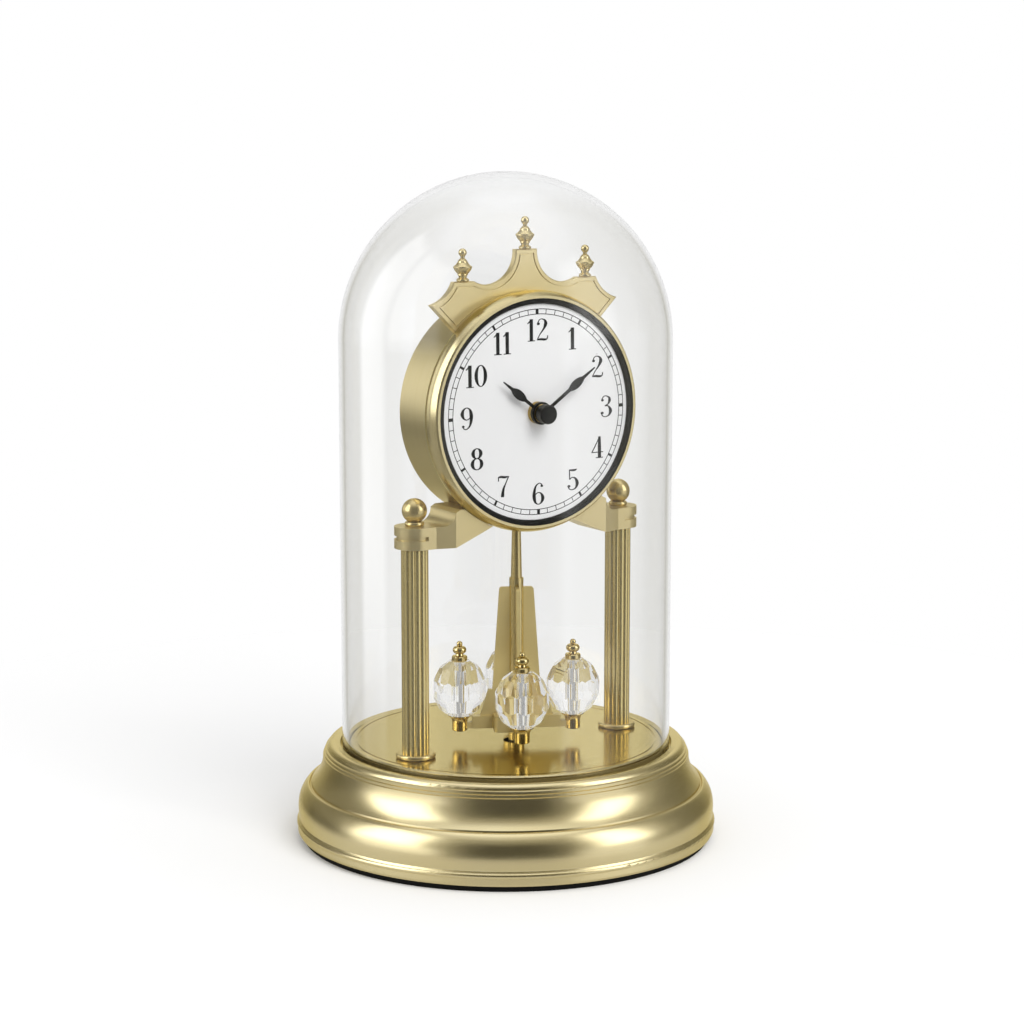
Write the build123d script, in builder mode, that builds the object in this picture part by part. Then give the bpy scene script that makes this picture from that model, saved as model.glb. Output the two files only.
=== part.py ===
from build123d import *
import math
import os

# A desk clock with a rotating pendulum under a glass dome, in millimetres.
# +Z is up, the dial faces -Y, and the origin is the middle of the foot's underside.

# The overrun shared by all cuts
cut_overrun = 1.0

# Glass dome, and the groove of the base that it stands in
dome_wall = 2.0
dome_side_gap = 6.5
dome_head_gap = 13.1
dome_foot_gap = 0.1
dome_foot_round = 0.6
groove_depth = 2.2
groove_outer_gap = 0.8
groove_inner_gap = 0.6

# Base shell, a spun moulding: the outline is given in shares of its spread and rise
base_height = 34.0
base_spread = 11.0
base_wall = 2.4
lip_width = 4.6
lip_inner_drop = 0.4
band_shares = [(0.936, 0.0), (0.973, 0.025), (0.973, 0.085)]
bead_shares = [(1.0, 0.11), (0.955, 0.138)]
cove_shares = [(0.909, 0.167), (0.891, 0.204)]
lower_ogee_shares = [(0.805, 0.374), (0.582, 0.525)]
quirk_shares = [(0.527, 0.535), (0.518, 0.557)]
upper_ogee_shares = [(0.245, 0.686), (0.136, 0.862)]
step_shares = [(0.1, 0.868), (0.1, 0.896), (0.055, 0.903), (0.055, 0.931), (0.0, 0.94)]
lip_round_shares = [(-0.055, 0.978), (-0.227, 1.0)]
inner_skin_shares = [(0.245, 0.686), (0.5, 0.53), (0.79, 0.36), (0.89, 0.17)]

# Foot pad, bottom cover, cover screws and ballast
foot_thickness = 2.2
foot_inset = 1.6
foot_width = 12.2
cover_thickness = 2.0
cover_gap = 0.1
cover_screw_diameter = 3.0
cover_screw_head_diameter = 5.6
cover_screw_head_height = 1.6
cover_screw_length = 6.0
cover_screw_count = 3
boss_diameter = 7.0
boss_gap = 1.5
ballast_diameter = 84.0
ballast_thickness = 9.0
ballast_chamfer = 1.0

# Deck plate, the brushed floor inside the dome
deck_thickness = 1.6
deck_rise = 1.0
deck_edge_chamfer = 0.5
deck_line_inset = 2.2
deck_line_width = 0.6
deck_line_depth = 0.3

# Guide cup under the deck, round the foot of the pendulum
guide_play = 1.75
guide_cup_wall = 1.0
guide_cup_depth = 9.4
guide_cup_flange_width = 2.8
guide_cup_flange_thickness = 1.4

# Columns, with their flanges, tie rods, nuts and washers
column_spread = 83.6
column_y = -9.0
column_diameter = 9.5
column_length = 71.5
flute_count = 16
flute_radius = 0.75
flute_depth = 0.55
flange_overhang = 2.05
flange_thickness = 1.8
flange_round = 0.8
tie_rod_diameter = 3.0
tie_rod_clearance = 0.1
tie_rod_tail = 7.0
tie_nut_width = 5.5
tie_nut_height = 2.4
tie_washer_diameter = 8.0
tie_washer_thickness = 0.8

# Brackets that carry the drum on the columns
bracket_height = 7.5
bracket_overhang = 2.05
bracket_shoulder_inset = 4.6
bracket_corner_inset = 11.2
bracket_tip_inset = 28.8
bracket_flare = 1.8
bracket_sweep_radius = 4.5
bracket_cheek_height = 1.0
bracket_ledge_inset = 18.3
bracket_groove_height = 1.4
bracket_groove_depth = 0.8
bracket_groove_end_inset = 1.6
bracket_screw_diameter = 2.0
bracket_screw_head_diameter = 3.8
bracket_screw_head_height = 1.2
bracket_screw_length = 5.0

# Ball finials on the brackets
ball_diameter = 8.5
ball_neck_diameter = 6.6
ball_neck_height = 1.5
ball_rod_depth = 2.8
ball_sink = 0.55

# Drum, a tube closed by a dial in front and by a ring behind
drum_wall = 2.4
drum_back_chamfer = 0.5
spigot_length = 5.9
spigot_radial_step = 0.5
rod_hole_gap = 0.5
rear_cover_thickness = 1.4
rear_cover_knob_gap = 4.7
rear_cover_seat = 1.2
rear_cover_gap = 0.1
rear_window_side_inset = 2.0
rear_window_top_inset = 3.0
rear_window_round = 6.0

# Bezel, gasket ring and dial
dial_face_y = -20.3
dial_thickness = 0.8
dial_gap = 0.1
dial_hole_diameter = 5.6
bezel_overhang = 1.0
bezel_bulge = 1.1
bezel_bulge_share = 0.4
bezel_bracket_gap = 0.1
bezel_lip = 1.5
bezel_front_chamfer = 0.5
bezel_back_chamfer = 0.4
gasket_width = 1.8
gasket_thickness = 1.0
gasket_chamfer = 0.4

# Quartz movement, its battery and the drive of the pendulum
movement_tall = 52.0
movement_wall = 2.2
movement_floor = 0.4
movement_corner = 6.0
movement_drum_gap = 2.6
bush_diameter = 5.4
battery_diameter = 14.2
battery_length = 49.0
battery_tip_diameter = 5.2
battery_tip_length = 1.2
battery_sill = 2.7
battery_gap = 0.2
contact_thickness = 0.5
contact_width = 8.0
drive_width = 22.0
drive_depth = 11.0
drive_height = 8.0
drive_round = 1.5

# Dial nut, hands and their arbors
dial_nut_diameter = 7.6
dial_nut_thickness = 1.7
hand_thickness = 0.4
hour_hub_diameter = 7.8
minute_hub_diameter = 5.0
hand_cap_diameter = 6.6
hand_gap = 0.25
hour_tube_diameter = 3.8
minute_arbor_diameter = 2.0
arbor_running_gap = 0.05
hour_hub_length = 1.2
minute_hub_length = 1.1
hand_cap_length = 3.2
hand_cap_round = 0.5
hour_hand_length = 18.9
hour_leaf_radius = 11.2
hour_leaf_width = 3.1
hour_hand_angle = 307.5
minute_hand_length = 25.5
minute_leaf_radius = 16.4
minute_leaf_width = 3.0
minute_hand_angle = 55.0
hand_stem_width = 1.1
hand_tip_width = 0.35
leaf_half_length = 3.4
hour_tube_depth = 4.5
minute_arbor_depth = 6.0

# Set knob on the back of the movement
set_knob_diameter = 9.0
set_knob_length = 3.6
set_knob_rise = 12.0
set_knob_gap = 0.3
set_shaft_diameter = 3.0
set_shaft_depth = 4.0
set_knob_notch_count = 12
set_knob_notch_radius = 0.6

# Crown, the pediment behind the bezel, and its finials and screws
crown_thickness = 2.4
crown_corner_reach = 13.6
crown_shoulder_outer_x = 28.6
crown_shoulder_inner_x = 20.7
crown_shoulder_rise = 5.6
crown_peak_half_width = 4.3
crown_peak_rise = 15.8
crown_side_shares = (0.35, 0.6)
crown_valley_share = 0.69
crown_valley_dip = 1.4
crown_border = 1.4
crown_groove_width = 0.45
crown_groove_depth = 0.4
crown_edge_chamfer = 0.3
crown_screw_diameter = 1.4
crown_screw_head_diameter = 3.0
crown_screw_head_height = 1.0
crown_screw_length = 3.0
crown_screw_angle = 24.0
finial_height = 11.0
finial_disc_diameter = 6.4
finial_bead_diameter = 2.8
bead_neck_share = 0.55
finial_pin_diameter = 1.2
finial_pin_length = 2.0

# Pendulum: hanger, rod, centre tube, fins, arms and spigot
pendulum_y = -7.0
pendulum_turn = -26.5
hanger_diameter = 6.0
hanger_height = 2.6
hanger_spindle_diameter = 3.0
hanger_spindle_gap = 0.05
hanger_spindle_length = 6.0
hanger_drive_gap = 0.4
rod_top_diameter = 2.9
rod_bottom_diameter = 3.9
rod_socket_depth = 1.6
tube_diameter = 5.0
tube_rise = 3.2
tube_socket_depth = 2.0
fin_thickness = 1.3
fin_slot_depth = 0.9
fin_height = 46.0
fin_top_reach = 6.0
fin_top_round = 1.1
fin_ledge_rise = 9.4
fin_ledge_reach = 8.5
fin_ledge_step = 1.5
fin_foot_reach = 12.9
arm_rise = 4.8
arm_height = 4.4
arm_width = 3.2
arm_cup_gap = 0.35
arm_tongue_gap = 0.25
arm_tongue_width = 2.4
arm_tongue_height = 2.2
hub_half_width = 4.6
hub_round = 1.2
spigot_diameter = 5.7
spigot_floor_gap = 3.5
spigot_round = 1.0
balance_reach = 8.4
balance_round = 1.6
balance_rise = 1.2

# Crystals on the arms, with their cups, pins and finials
crystal_count = 4
crystal_gap = 0.6
crystal_diameter = 18.8
crystal_rise = 9.3
crystal_height = 19.8
crystal_sides = 10
crystal_ring_shares = [(0.32, 0.0), (0.68, 0.125), (0.93, 0.3), (1.0, 0.5), (0.93, 0.7), (0.68, 0.875), (0.32, 1.0)]
crystal_bore_diameter = 2.4
crystal_pin_diameter = 1.9
crystal_pin_foot = 1.0
crystal_pin_top = 3.2
cup_stem_diameter = 5.3
cup_rim_diameter = 8.1
cup_rise = 4.0
cup_stem_share = 0.55
cup_rim_height = 0.4
cup_dish_inset = 0.35
cup_stem_chamfer = 0.3
crystal_finial_height = 7.0
crystal_finial_diameter = 5.5
crystal_bead_diameter = 2.1

# Places in the plan: the dome clears the brackets, and the base follows the dome
column_x = column_spread / 2
bracket_width = column_diameter + 2 * bracket_overhang
flange_diameter = column_diameter + 2 * flange_overhang
dome_inner_radius = math.hypot(column_x, column_y) + bracket_width / 2 + dome_side_gap
dome_radius = dome_inner_radius + dome_wall
platform_radius = dome_inner_radius - groove_inner_gap
groove_outer_radius = dome_radius + groove_outer_gap
lip_outer_radius = groove_outer_radius + lip_width
base_radius = lip_outer_radius + base_spread
cover_screw_orbit = ballast_diameter / 2 + boss_gap + boss_diameter / 2
guide_hole_diameter = spigot_diameter + 2 * guide_play

# Heights from the base up to the brackets
groove_floor_height = base_height - groove_depth
deck_top_height = base_height + deck_rise
platform_height = deck_top_height - deck_thickness
ballast_bottom = foot_thickness + cover_thickness
groove_underside = groove_floor_height - base_wall
platform_underside = platform_height - base_wall
column_bottom = deck_top_height + flange_thickness
bracket_bottom_height = column_bottom + column_length
bracket_top_height = bracket_bottom_height + bracket_height
sweep_corner_height = bracket_top_height + bracket_sweep_radius

# The movement holds the battery, and the drum is made round the movement
bay_length = battery_length + battery_tip_length + 2 * (contact_thickness + battery_gap)
bay_depth = battery_diameter + 2 * battery_gap
movement_width = bay_length + 2 * movement_wall
movement_depth = bay_depth + movement_floor
battery_drop = movement_tall / 2 - battery_sill - bay_depth / 2
drum_inner_radius = math.hypot(movement_width / 2, movement_tall / 2 - movement_corner) + movement_drum_gap
drum_radius = drum_inner_radius + drum_wall
bezel_radius = drum_radius + bezel_overhang
bezel_bore_radius = drum_radius - spigot_radial_step + dial_gap

# The drum rests on the saddles of the brackets
bracket_shoulder_x = column_x - bracket_shoulder_inset
bracket_corner_x = column_x - bracket_corner_inset
bracket_tip_x = column_x - bracket_tip_inset
bracket_tip_angle = math.degrees(math.asin(bracket_tip_x / drum_radius))
bracket_ledge_x = column_x - bracket_ledge_inset
bracket_ledge_angle = math.degrees(math.asin(bracket_ledge_x / drum_radius))
bracket_screw_angle = (bracket_tip_angle + bracket_ledge_angle) / 2
ledge_height = sweep_corner_height + bracket_cheek_height
dial_height = ledge_height + math.sqrt(drum_radius**2 - bracket_ledge_x**2)

# Depths in the drum, from the dial's face backwards and forwards
dial_back_y = dial_face_y + dial_thickness
bezel_front_y = dial_face_y - bezel_lip
drum_front_y = dial_back_y + spigot_length
crown_front_y = drum_front_y
crown_y = crown_front_y + crown_thickness / 2
movement_back_y = dial_back_y + movement_depth
drum_back_y = movement_back_y + set_knob_gap + set_knob_length + rear_cover_knob_gap + rear_cover_thickness
battery_height = dial_height - battery_drop
battery_y = movement_back_y - bay_depth / 2
bush_length = dial_thickness + dial_nut_thickness
bush_front_y = dial_back_y - bush_length
nut_front_y = dial_face_y - dial_nut_thickness
hour_hub_back_y = nut_front_y - hand_gap
hour_hub_front_y = hour_hub_back_y - hour_hub_length
minute_hub_back_y = hour_hub_front_y - hand_gap
minute_hub_front_y = minute_hub_back_y - minute_hub_length

# Crown places, measured from the dial's axis, and the dome's top above its middle finial
crown_corner_radius = drum_radius + crown_corner_reach
shoulder_rise = drum_radius + crown_shoulder_rise
peak_rise = drum_radius + crown_peak_rise
side_finial_x = (crown_shoulder_outer_x + crown_shoulder_inner_x) / 2
clock_height = dial_height + peak_rise + finial_height + dome_head_gap + dome_wall

# Drive and pendulum
movement_bottom_height = dial_height - movement_tall / 2
drive_bottom_height = movement_bottom_height - drive_height
hanger_top_height = drive_bottom_height - hanger_drive_gap
hanger_bottom_height = hanger_top_height - hanger_height
arm_bottom_height = deck_top_height + arm_rise
arm_top_height = arm_bottom_height + arm_height
fin_top_height = arm_top_height + fin_height
fin_ledge_height = arm_top_height + fin_ledge_rise
tube_top_height = fin_top_height + tube_rise
cup_bottom_height = deck_top_height + cup_rise
crystal_bottom_height = deck_top_height + crystal_rise
crystal_top_height = crystal_bottom_height + crystal_height
crystal_orbit = fin_ledge_reach + fin_ledge_step + crystal_gap + crystal_diameter / 2
arm_reach = crystal_orbit - cup_rim_diameter / 2 - arm_cup_gap
arm_tongue_reach = crystal_orbit - crystal_pin_diameter / 2 - arm_tongue_gap
crystal_angles = [pendulum_turn + 360 / crystal_count * index for index in range(crystal_count)]

os.makedirs("parts", exist_ok=True)


def save(part, label):
    """Label a finished piece and write it under that name."""
    part.label = label
    export_step(part, "parts/" + label + ".step")


def upright_plane(x, y):
    """A vertical plane through (x, y): local x is +X and local y is +Z."""
    return Plane(origin=(x, y, 0), x_dir=(1, 0, 0), z_dir=(0, -1, 0))


def upright_axis(x, y):
    """The vertical line through (x, y)."""
    return Axis((x, y, 0), (0, 0, 1))


def dial_plane(y):
    """A plane parallel to the dial at depth y, centred on the dial's axis."""
    return Plane(origin=(0, y, dial_height), x_dir=(1, 0, 0), z_dir=(0, -1, 0))


def radial_plane(angle):
    """A vertical plane from the pendulum's axis outwards: local x is the radius, local y is +Z."""
    out = math.radians(angle)
    origin = (0, pendulum_y, 0)
    return Plane(origin=origin, x_dir=(math.cos(out), math.sin(out), 0), z_dir=(math.sin(out), -math.cos(out), 0))


def pendulum_plane(height):
    """A level plane at a height, centred on the pendulum's axis and turned with its arms."""
    turn = math.radians(pendulum_turn)
    return Plane(origin=(0, pendulum_y, height), x_dir=(math.cos(turn), math.sin(turn), 0), z_dir=(0, 0, 1))


def drum_screw_plane(angle, y, side):
    """A plane on the drum's axis whose normal leans by an angle from the vertical: side 1 is up, -1 down."""
    lean = math.radians(angle)
    return Plane(origin=(0, y, dial_height), x_dir=(0, 1, 0), z_dir=(math.sin(lean), 0, side * math.cos(lean)))


def orbit_place(angle):
    """The x and y of a crystal's axis at an angle round the pendulum."""
    out = math.radians(angle)
    return crystal_orbit * math.cos(out), pendulum_y + crystal_orbit * math.sin(out)


def base_point(shares):
    """A point of the base's outline from its shares of the spread beyond the lip and of the rise."""
    spread = base_radius - lip_outer_radius
    rise = base_height - foot_thickness
    return lip_outer_radius + shares[0] * spread, foot_thickness + shares[1] * rise


def inner_skin_point(shares):
    """A point one wall inside the base's outline."""
    radius, height = base_point(shares)
    return radius - base_wall, height


# Base shell: the moulded outline outside, the dome's groove on top, and screw bosses underneath
with BuildPart() as base_shell:
    with BuildSketch(Plane.XZ):
        with BuildLine():
            Polyline([base_point(share) for share in band_shares])
            ThreePointArc(base_point(band_shares[-1]), base_point(bead_shares[0]), base_point(bead_shares[1]))
            ThreePointArc(base_point(bead_shares[1]), base_point(cove_shares[0]), base_point(cove_shares[1]))
            ThreePointArc(base_point(cove_shares[1]), *[base_point(share) for share in lower_ogee_shares])
            Polyline([base_point(share) for share in lower_ogee_shares[-1:] + quirk_shares])
            ThreePointArc(base_point(quirk_shares[-1]), *[base_point(share) for share in upper_ogee_shares])
            Polyline([base_point(share) for share in upper_ogee_shares[-1:] + step_shares])
            ThreePointArc(base_point(step_shares[-1]), *[base_point(share) for share in lip_round_shares])
            Polyline(
                base_point(lip_round_shares[-1]),
                (groove_outer_radius, base_height - lip_inner_drop),
                (groove_outer_radius, groove_floor_height),
                (platform_radius, groove_floor_height),
                (platform_radius, platform_height),
                (0, platform_height),
                (0, platform_underside),
                (platform_radius - base_wall, platform_underside),
                (platform_radius - base_wall, groove_underside),
                (groove_outer_radius + base_wall, groove_underside),
                *[inner_skin_point(share) for share in inner_skin_shares],
                (inner_skin_point(inner_skin_shares[-1])[0], foot_thickness),
                base_point(band_shares[0]),
            )
        make_face()
    revolve(axis=Axis.Z)
    with BuildSketch(Plane.XY.offset(ballast_bottom)):
        with PolarLocations(cover_screw_orbit, cover_screw_count):
            Circle(boss_diameter / 2)
    extrude(amount=platform_underside - ballast_bottom)
    with BuildSketch(Plane.XY.offset(ballast_bottom)):
        with PolarLocations(cover_screw_orbit, cover_screw_count):
            Circle(cover_screw_diameter / 2)
    extrude(amount=cover_screw_length, mode=Mode.SUBTRACT)
    with Locations((0, pendulum_y, platform_height)):
        Hole(guide_hole_diameter / 2 + guide_cup_wall)
    with Locations((-column_x, column_y, platform_height), (column_x, column_y, platform_height)):
        Hole(tie_rod_diameter / 2 + tie_rod_clearance)
save(base_shell.part, "base_shell")

# Foot pad: the black ring that the clock stands on
foot_radius = base_point(band_shares[0])[0] - foot_inset
with BuildPart() as foot_pad:
    with BuildSketch():
        Circle(foot_radius)
        Circle(foot_radius - foot_width, mode=Mode.SUBTRACT)
    extrude(amount=foot_thickness)
save(foot_pad.part, "foot_pad")

# Bottom cover: closes the base, and carries the ballast on top
cover_radius = inner_skin_point(inner_skin_shares[-1])[0] - cover_gap
with BuildPart() as bottom_cover:
    with BuildSketch(Plane.XY.offset(foot_thickness)):
        Circle(cover_radius)
    extrude(amount=cover_thickness)
    with Locations((0, 0, ballast_bottom)):
        with PolarLocations(cover_screw_orbit, cover_screw_count):
            Hole(cover_screw_diameter / 2)
save(bottom_cover.part, "bottom_cover")

# Ballast: the disc of steel that steadies the light base
with BuildPart() as ballast:
    with BuildSketch(Plane.XY.offset(ballast_bottom)):
        Circle(ballast_diameter / 2)
    extrude(amount=ballast_thickness)
    chamfer(ballast.edges().filter_by(GeomType.CIRCLE).sort_by(Axis.Z)[-1], ballast_chamfer)
save(ballast.part, "ballast")

# Cover screws: they hold the cover to the bosses of the shell
with BuildPart() as cover_screws:
    with BuildSketch(Plane.XY.offset(foot_thickness)):
        with PolarLocations(cover_screw_orbit, cover_screw_count):
            Circle(cover_screw_head_diameter / 2)
    extrude(amount=-cover_screw_head_height)
    with BuildSketch(Plane.XY.offset(foot_thickness)):
        with PolarLocations(cover_screw_orbit, cover_screw_count):
            Circle(cover_screw_diameter / 2)
    extrude(amount=cover_thickness + cover_screw_length)
save(cover_screws.part, "cover_screws")

# Deck plate: lies on the platform inside the dome, with a fine turned line near its edge
deck_radius = platform_radius
with BuildPart() as deck_plate:
    with BuildSketch(Plane.XY.offset(platform_height)):
        Circle(deck_radius)
        with Locations((0, pendulum_y)):
            Circle(guide_hole_diameter / 2, mode=Mode.SUBTRACT)
        with Locations((-column_x, column_y), (column_x, column_y)):
            Circle(tie_rod_diameter / 2 + tie_rod_clearance, mode=Mode.SUBTRACT)
    extrude(amount=deck_thickness)
    with BuildSketch(Plane.XY.offset(deck_top_height)):
        Circle(deck_radius - deck_line_inset)
        Circle(deck_radius - deck_line_inset - deck_line_width, mode=Mode.SUBTRACT)
    extrude(amount=-deck_line_depth, mode=Mode.SUBTRACT)
    top_circles = deck_plate.edges().filter_by(GeomType.CIRCLE).filter_by_position(
        Axis.Z, deck_top_height, deck_top_height
    )
    chamfer(top_circles.sort_by(SortBy.RADIUS)[-1], deck_edge_chamfer)
save(deck_plate.part, "deck_plate")

# Guide cup: a black well under the deck that keeps the pendulum's foot from straying
guide_cup_bottom = platform_height - guide_cup_depth
guide_outer_radius = guide_hole_diameter / 2 + guide_cup_wall
with BuildPart() as guide_cup:
    with BuildSketch(upright_plane(0, pendulum_y)):
        with BuildLine():
            Polyline(
                (0, guide_cup_bottom),
                (guide_outer_radius, guide_cup_bottom),
                (guide_outer_radius, platform_underside - guide_cup_flange_thickness),
                (guide_outer_radius + guide_cup_flange_width, platform_underside - guide_cup_flange_thickness),
                (guide_outer_radius + guide_cup_flange_width, platform_underside),
                (guide_outer_radius, platform_underside),
                (guide_outer_radius, platform_height),
                (guide_hole_diameter / 2, platform_height),
                (guide_hole_diameter / 2, guide_cup_bottom + guide_cup_wall),
                (0, guide_cup_bottom + guide_cup_wall),
                close=True,
            )
        make_face()
    revolve(axis=upright_axis(0, pendulum_y))
save(guide_cup.part, "guide_cup")

# Glass dome: a straight tube closed by a half sphere
dome_bottom = groove_floor_height + dome_foot_gap
dome_centre = clock_height - dome_radius
with BuildPart() as glass_dome:
    with BuildSketch(Plane.XZ):
        with BuildLine():
            Line((dome_inner_radius, dome_bottom), (dome_radius, dome_bottom))
            Line((dome_radius, dome_bottom), (dome_radius, dome_centre))
            CenterArc((0, dome_centre), dome_radius, 0, 90)
            Line((0, clock_height), (0, clock_height - dome_wall))
            CenterArc((0, dome_centre), dome_inner_radius, 0, 90)
            Line((dome_inner_radius, dome_centre), (dome_inner_radius, dome_bottom))
        make_face()
    revolve(axis=Axis.Z)
    foot_edges = glass_dome.edges().filter_by_position(Axis.Z, dome_bottom, dome_bottom)
    fillet(foot_edges, dome_foot_round)
save(glass_dome.part, "glass_dome")

# Columns: fluted shafts between the deck flanges and the brackets
def make_column(x):
    """One fluted shaft with a bore for its tie rod."""
    with BuildPart() as column:
        with BuildSketch(Plane.XY.offset(column_bottom)):
            with Locations((x, column_y)):
                Circle(column_diameter / 2)
                Circle(tie_rod_diameter / 2 + tie_rod_clearance, mode=Mode.SUBTRACT)
                with PolarLocations(column_diameter / 2 + flute_radius - flute_depth, flute_count):
                    Circle(flute_radius, mode=Mode.SUBTRACT)
        extrude(amount=bracket_bottom_height - column_bottom)
    return column.part


save(make_column(-column_x), "left_column")
save(make_column(column_x), "right_column")

# Column flanges: the turned rings that the columns stand on
with BuildPart() as column_flanges:
    for x in (-column_x, column_x):
        with BuildSketch(Plane.XY.offset(deck_top_height)):
            with Locations((x, column_y)):
                Circle(flange_diameter / 2)
                Circle(tie_rod_diameter / 2 + tie_rod_clearance, mode=Mode.SUBTRACT)
        extrude(amount=flange_thickness)
    outer_rims = column_flanges.edges().filter_by(GeomType.CIRCLE).group_by(SortBy.RADIUS)[-1]
    fillet(outer_rims, flange_round)
save(column_flanges.part, "column_flanges")

# Tie rods, nuts and washers: they clamp flange, column, bracket and ball to the base
tie_rod_top = bracket_top_height + ball_neck_height + ball_rod_depth
with BuildPart() as tie_rods:
    with BuildSketch(Plane.XY.offset(platform_underside - tie_rod_tail)):
        with Locations((-column_x, column_y), (column_x, column_y)):
            Circle(tie_rod_diameter / 2)
    extrude(amount=tie_rod_top - platform_underside + tie_rod_tail)
save(tie_rods.part, "tie_rods")

with BuildPart() as tie_washers:
    with BuildSketch(Plane.XY.offset(platform_underside)):
        with Locations((-column_x, column_y), (column_x, column_y)):
            Circle(tie_washer_diameter / 2)
            Circle(tie_rod_diameter / 2 + tie_rod_clearance, mode=Mode.SUBTRACT)
    extrude(amount=-tie_washer_thickness)
save(tie_washers.part, "tie_washers")

with BuildPart() as tie_nuts:
    with BuildSketch(Plane.XY.offset(platform_underside - tie_washer_thickness)):
        with Locations((-column_x, column_y), (column_x, column_y)):
            RegularPolygon(tie_nut_width / 2, 6, major_radius=False)
            Circle(tie_rod_diameter / 2, mode=Mode.SUBTRACT)
    extrude(amount=-tie_nut_height)
save(tie_nuts.part, "tie_nuts")

# Brackets: a round-ended arm on the column that sweeps up into a saddle under the drum
def make_bracket():
    """The right bracket; the left one is its mirror image."""
    half_width = bracket_width / 2
    with BuildPart() as bracket:
        with BuildSketch(Plane.XY.offset(bracket_bottom_height)):
            with Locations((column_x, column_y)):
                Circle(half_width)
            with BuildLine():
                Polyline(
                    (column_x, column_y - half_width),
                    (bracket_shoulder_x, column_y - half_width),
                    (bracket_corner_x, column_y - half_width - bracket_flare),
                    (bracket_tip_x, column_y - half_width - bracket_flare),
                    (bracket_tip_x, column_y + half_width + bracket_flare),
                    (bracket_corner_x, column_y + half_width + bracket_flare),
                    (bracket_shoulder_x, column_y + half_width),
                    (column_x, column_y + half_width),
                    close=True,
                )
            make_face()
        extrude(amount=dial_height - bracket_bottom_height)
        with BuildSketch(Plane.XZ.offset(-column_y + bracket_width)) as side_view:
            with BuildLine():
                tip_height = dial_height - math.sqrt(drum_radius**2 - bracket_tip_x**2)
                Line((column_x + bracket_width, bracket_bottom_height), (bracket_corner_x, bracket_bottom_height))
                Line((bracket_corner_x, bracket_bottom_height), (bracket_tip_x, tip_height))
                saddle_middle = math.radians(bracket_screw_angle)
                ThreePointArc(
                    (bracket_tip_x, tip_height),
                    (drum_radius * math.sin(saddle_middle), dial_height - drum_radius * math.cos(saddle_middle)),
                    (bracket_ledge_x, ledge_height),
                )
                Polyline(
                    (bracket_ledge_x, ledge_height),
                    (bracket_corner_x - bracket_flare, ledge_height),
                    (bracket_corner_x, sweep_corner_height),
                )
                RadiusArc(
                    (bracket_corner_x, sweep_corner_height),
                    (bracket_corner_x + bracket_sweep_radius, bracket_top_height),
                    -bracket_sweep_radius,
                )
                Line(
                    (bracket_corner_x + bracket_sweep_radius, bracket_top_height),
                    (column_x + bracket_width, bracket_top_height),
                )
                Line(
                    (column_x + bracket_width, bracket_top_height),
                    (column_x + bracket_width, bracket_bottom_height),
                )
            make_face()
        extrude(amount=-2 * bracket_width, mode=Mode.INTERSECT)
        groove_middle = bracket_bottom_height + bracket_height / 2
        with BuildSketch(Plane.XY.offset(groove_middle - bracket_groove_height / 2)):
            with Locations((column_x, column_y)):
                Circle(half_width + cut_overrun)
                Circle(half_width - bracket_groove_depth, mode=Mode.SUBTRACT)
            with Locations((column_x - bracket_groove_end_inset, column_y)):
                Rectangle(
                    bracket_width, bracket_width + 2 * cut_overrun, align=(Align.MAX, Align.CENTER), mode=Mode.SUBTRACT
                )
        extrude(amount=bracket_groove_height, mode=Mode.SUBTRACT)
        with Locations((column_x, column_y, bracket_top_height)):
            Hole(tie_rod_diameter / 2 + tie_rod_clearance)
        with BuildSketch(dial_plane(drum_front_y)):
            Circle(bezel_radius + bezel_bulge + bezel_bracket_gap)
        extrude(amount=drum_front_y - bezel_front_y, mode=Mode.SUBTRACT)
        with BuildSketch(drum_screw_plane(bracket_screw_angle, column_y, -1)):
            Circle(bracket_screw_diameter / 2)
        extrude(amount=drum_radius + bracket_screw_length, mode=Mode.SUBTRACT)
    return bracket.part


right_bracket_part = make_bracket()
save(mirror(right_bracket_part, about=Plane.YZ), "left_bracket")
save(right_bracket_part, "right_bracket")

# Ball finials: turned balls on a ring neck, screwed on the tops of the tie rods
ball_radius = ball_diameter / 2
neck_top = bracket_top_height + ball_neck_height
ball_centre = neck_top + ball_radius - ball_sink


def make_ball(x):
    """One ball with its neck and the blind bore for the tie rod."""
    with BuildPart() as ball:
        with BuildSketch(upright_plane(x, column_y)):
            with BuildLine():
                neck_contact = math.sqrt(ball_radius**2 - (ball_radius - ball_sink) ** 2)
                neck_radius = ball_neck_diameter / 2
                Polyline(
                    (tie_rod_diameter / 2, bracket_top_height),
                    (neck_radius - flange_round / 2, bracket_top_height),
                )
                ThreePointArc(
                    (neck_radius - flange_round / 2, bracket_top_height),
                    (neck_radius, bracket_top_height + ball_neck_height / 2),
                    (neck_radius - flange_round / 2, neck_top),
                )
                Line((neck_radius - flange_round / 2, neck_top), (neck_contact, neck_top))
                ThreePointArc(
                    (neck_contact, neck_top),
                    (ball_radius, ball_centre),
                    (0, ball_centre + ball_radius),
                )
                Polyline(
                    (0, ball_centre + ball_radius),
                    (0, tie_rod_top),
                    (tie_rod_diameter / 2, tie_rod_top),
                    (tie_rod_diameter / 2, bracket_top_height),
                )
            make_face()
        revolve(axis=upright_axis(x, column_y))
    return ball.part


with BuildPart() as ball_finials:
    add(make_ball(-column_x))
    add(make_ball(column_x))
save(ball_finials.part, "ball_finials")

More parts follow.
